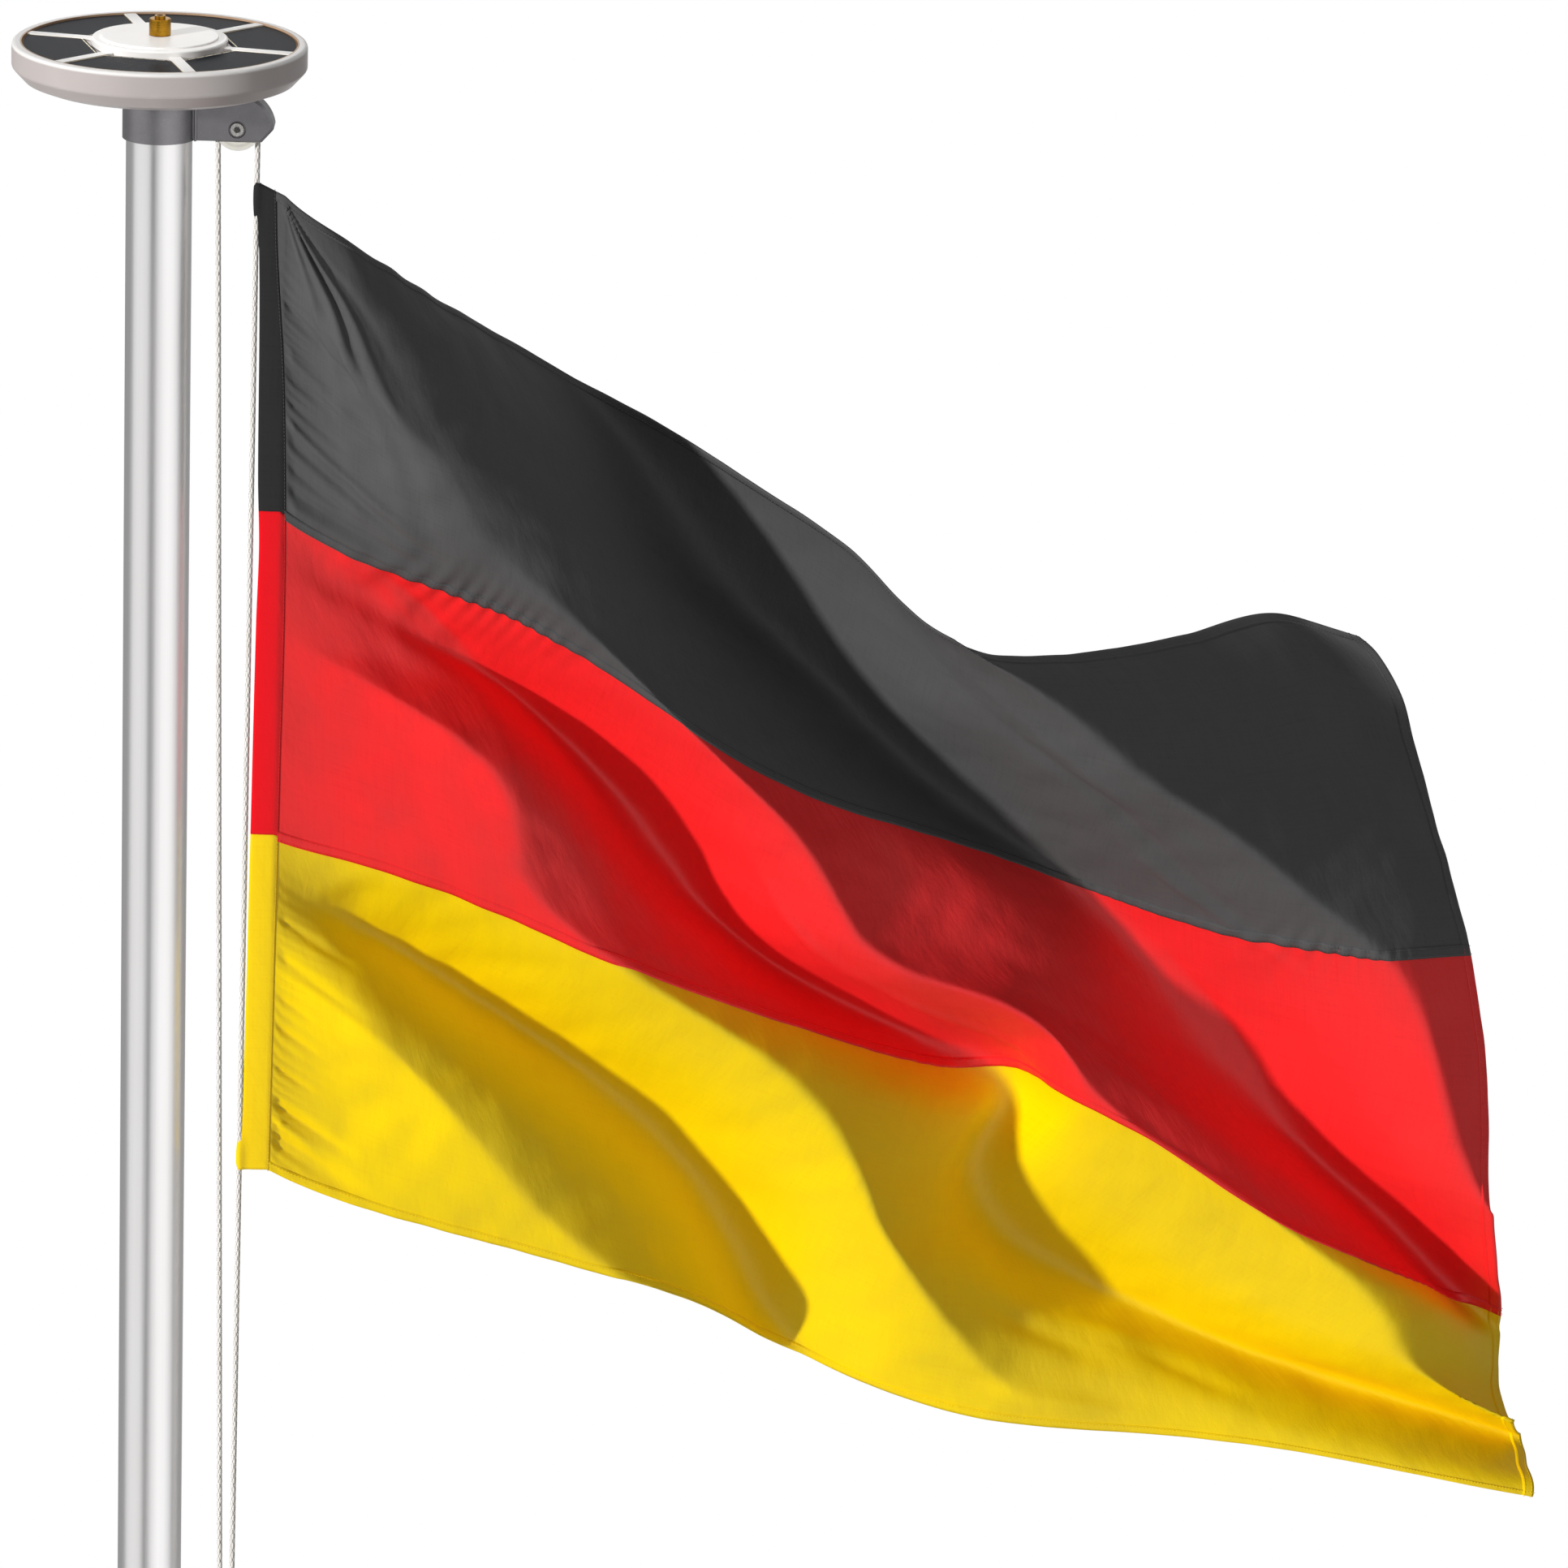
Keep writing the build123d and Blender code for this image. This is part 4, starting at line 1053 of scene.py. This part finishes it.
# Flag: three bands of cloth with their seams, hems and stitches. A cloth is its dark, light and
# worn tint, its gloss and its roughness; the headings are the cloths of the hoist hem.
cloths = {
    "black": ("4C4C4C", "5A5A5A", "535354", 0.10, 0.60),
    "red": ("EE1A22", "FF2C2C", "F8302E", 0.25, 0.50),
    "gold": ("FACC00", "FFDE00", "F9D008", 0.20, 0.50),
}
headings = {
    "black": ("242424", "303030", "2A2A2A", 0.10, 0.65),
    "red": ("E00818", "EE101C", "E80C1A", 0.20, 0.60),
    "gold": ("F4C608", "FCD812", "F6CC0A", 0.20, 0.60),
}
stitch_tree = row_tree("stitch_row", stitch_shape, stitch_sizes)
fly_distances = np.linspace(strip_start, cloth_end, band_columns)
for index, (name, finish) in enumerate(cloths.items()):
    cloth = laid_finish(woven_cloth, *finish, name=f"{name}_cloth")
    thread = solid_finish(sewing_thread, finish[0], finish[1], name=f"{name}_thread")
    top, bottom = index / 3, (index + 1) / 3
    levels = np.linspace(top, bottom, band_rows)
    left = np.maximum(along_stations(hem_left_shares, levels) + band_inset, band_inset)
    spread = np.linspace(0, 1, band_columns) ** band_column_power
    distances = left[:, None] + (cloth_end - left)[:, None] * spread
    band = cloth_strip(f"flag_{name}", levels, distances, cloth_thick, cloth)
    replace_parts(band, f"flag_{name}_band")

    hem_levels = np.linspace(top, bottom, hem_rows)
    heading = laid_finish(woven_cloth, *headings[name], name=f"{name}_heading")
    hem = hoist_hem(f"hoist_hem_{name}", hem_levels, heading)
    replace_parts(hem, f"hem_{name}")
    fly_side = np.linspace(cloth_end - fly_hem_wide, cloth_end, fly_hem_columns)
    cloth_strip(f"fly_hem_{name}", levels, fly_side, fly_hem_thick, cloth)
    rows = []
    if index == 0:
        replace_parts(hem, "flag_loop_upper")
        edge_levels = np.linspace(0, edge_hem_wide / flag_hoist, strip_rows)
        cloth_strip("top_hem", edge_levels, fly_distances, edge_hem_thick, cloth)
        rows += stitch_lines([edge_levels[-1] * edge_stitch_share], fly_distances, stitch_lift)
    if index == 2:
        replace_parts(hem, "flag_loop_lower")
        edge_levels = np.linspace(1 - edge_hem_wide / flag_hoist, 1, strip_rows)
        cloth_strip("bottom_hem", edge_levels, fly_distances, edge_hem_thick, cloth)
        rows += stitch_lines([1 - (1 - edge_levels[0]) * edge_stitch_share], fly_distances, stitch_lift)
    if index < 2:
        half = seam_wide / 2 / flag_hoist
        seam_levels = np.linspace(bottom - half, bottom + half, strip_rows)
        cloth_strip(f"seam_{name}", seam_levels, fly_distances, seam_thick, cloth)
        for share in seam_stitch_shares:
            rows += stitch_lines([bottom + half * share], fly_distances, seam_stitch_lift)
    for share in fly_stitch_shares:
        rows += stitch_lines(levels, [cloth_end - fly_hem_wide * share], stitch_lift)
    hem_right = along_stations(hem_right_shares, levels)[:, None] - hem_stitch_inset
    rows += stitch_lines(levels, hem_right, stitch_lift)
    row_piece(f"stitches_{name}", rows, stitch_tree, thread, "flag")

# Weld beads where the socket and the gussets meet the plate
weld_tree = row_tree("weld_row", weld_shape, weld_sizes)
weld_lines = []
plate_top = Vector((0, 0, socket_foot))
gusset_top = Vector((0, 0, gusset_high.z - weld_top_inset))
gusset_reach = math.hypot(gusset_high.x, gusset_high.y) - weld_foot_inset
for corner in range(gusset_count):
    turn = 2 * math.pi / gusset_count * (corner + 0.5)
    outward = Vector((math.cos(turn), math.sin(turn), 0))
    sideways = Vector((-math.sin(turn), math.cos(turn), 0)) * weld_aside
    for side in (-1, 1):
        foot = outward * gusset_reach + sideways * side + plate_top
        root = outward * socket_r + sideways * side + plate_top
        crest = outward * socket_r + sideways * side + gusset_top
        weld_lines.append([foot, root, crest])
    round_socket = [turn + math.radians(step) for step in range(*weld_arc)]
    weld_lines.append([
        Vector((socket_r * math.cos(t), socket_r * math.sin(t), socket_foot)) for t in round_socket
    ])
row_piece("weld_beads", weld_lines, weld_tree, solid_finish(galvanised_steel), "pole")


def seen_directly(pen):
    """1 for rays that show the backdrop itself: from the camera, in gloss or through glass."""
    seen = pen.node("ShaderNodeLightPath", output="Is Camera Ray")
    seen = seen.maths("MAXIMUM", pen.node("ShaderNodeLightPath", output="Is Glossy Ray"))
    return seen.maths("MAXIMUM", pen.node("ShaderNodeLightPath", output="Is Transmission Ray"))


def studio_world():
    """White to look at, a soft sky for lighting."""
    world = bpy.data.worlds.new("studio")
    world.use_nodes = True
    world.node_tree.nodes.clear()
    scene.world = world
    pen = Wire(world.node_tree)
    sky = pen.node("ShaderNodeTexCoord", output="Generated")
    up = pen.node("ShaderNodeSeparateXYZ", {0: sky}, output=2).maths("MAXIMUM", 0.0)
    ambient = up * ambient_rise + ambient_low
    seen = seen_directly(pen)
    strength = seen + (1 - seen) * ambient
    light = pen.node("ShaderNodeBackground", {"Color": plain_white, "Strength": strength})
    pen.node("ShaderNodeOutputWorld", {"Surface": light})


def pale_floor(pen, x, y, z):
    """Keeps the shadow near the foot and turns to plain white further out."""
    away = soft_step(from_middle(x, y), *floor_fade)
    cloud = grain(pen, vector(pen, x, y, z), 1.5, 4.0)
    pale = mixed(cloud, "EDEDED", "F1F1F1")
    matt = pen.node(
        "ShaderNodeBsdfPrincipled", {"Base Color": pale, "Roughness": 0.9, "Specular IOR Level": 0.0}
    )
    white = pen.node("ShaderNodeEmission", {"Color": plain_white, "Strength": 1.0})
    shine = between(away, floor_shine, 1.0) * seen_directly(pen)
    shown = pen.node("ShaderNodeMixShader", {0: shine, 1: matt, 2: white})
    pen.node("ShaderNodeOutputMaterial", {"Surface": shown})


def studio_floor():
    turns = [2 * math.pi * step / floor_sides for step in range(floor_sides)]
    edge = [(floor_r * math.cos(t), floor_r * math.sin(t), 0) for t in turns]
    mesh = bpy.data.meshes.new("floor")
    mesh.from_pydata(edge, [], [tuple(range(floor_sides))])
    mesh.materials.append(solid_finish(pale_floor))
    floor = placed("floor", mesh)


def gloss_card(name, start, end, level):
    """Curved card, seen only in shiny surfaces, between two bearings from the camera's side."""
    turns = [math.radians(start + (end - start) * step / card_steps) for step in range(card_steps + 1)]
    points = []
    for turn in turns:
        points += [(away * math.sin(turn), -away * math.cos(turn), z) for away, z in card_profile]
    mesh = bpy.data.meshes.new(name)
    mesh.from_pydata(points, [], grid_faces(len(turns), len(card_profile)))
    material, pen = new_finish(name)
    shade = pen.node("ShaderNodeEmission", {"Color": plain_white, "Strength": level})
    pen.node("ShaderNodeOutputMaterial", {"Surface": shade})
    mesh.materials.append(material)
    card = placed(name, mesh)
    for ray in ("camera", "diffuse", "transmission", "volume_scatter", "shadow"):
        setattr(card, "visible_" + ray, False)


def key_light():
    light = bpy.data.lights.new("key_light", "SUN")
    light.energy = key_strength
    light.angle = math.radians(key_spread)
    sun = placed("key_light", light)
    sun.rotation_euler = Vector(key_towards).to_track_quat("-Z", "Y").to_euler()
    sun.visible_glossy = False


def lamp_spot():
    """Narrow beam from straight above that lights the lamp's top only."""
    light = bpy.data.lights.new("lamp_spot", "SPOT")
    light.energy = lamp_spot_power
    light.spot_size = math.radians(lamp_spot_turn)
    light.spot_blend = lamp_spot_blend
    light.shadow_soft_size = lamp_spot_soft
    spot = placed("lamp_spot", light)
    spot.location = lamp_spot_place
    spot.visible_glossy = False


def photo_camera():
    forward = Vector((0, math.cos(camera_tilt), -math.sin(camera_tilt)))
    level = Vector((1, 0, 0))
    rise = level.cross(forward)
    right = level * math.cos(camera_roll) + rise * math.sin(camera_roll)
    up = rise * math.cos(camera_roll) - level * math.sin(camera_roll)
    data = bpy.data.cameras.new("photo_camera")
    data.sensor_width = sensor_width
    data.lens = sensor_width * photo_focal / photo_width
    data.clip_end = camera_sight
    camera = placed("photo_camera", data)
    turn = Matrix((right, up, -forward)).transposed().to_4x4()
    camera.matrix_world = Matrix.Translation(camera_place) @ turn
    scene.camera = camera


studio_world()
studio_floor()
for name, bearings_and_level in gloss_cards.items():
    gloss_card(name, *bearings_and_level)
key_light()
lamp_spot()
photo_camera()
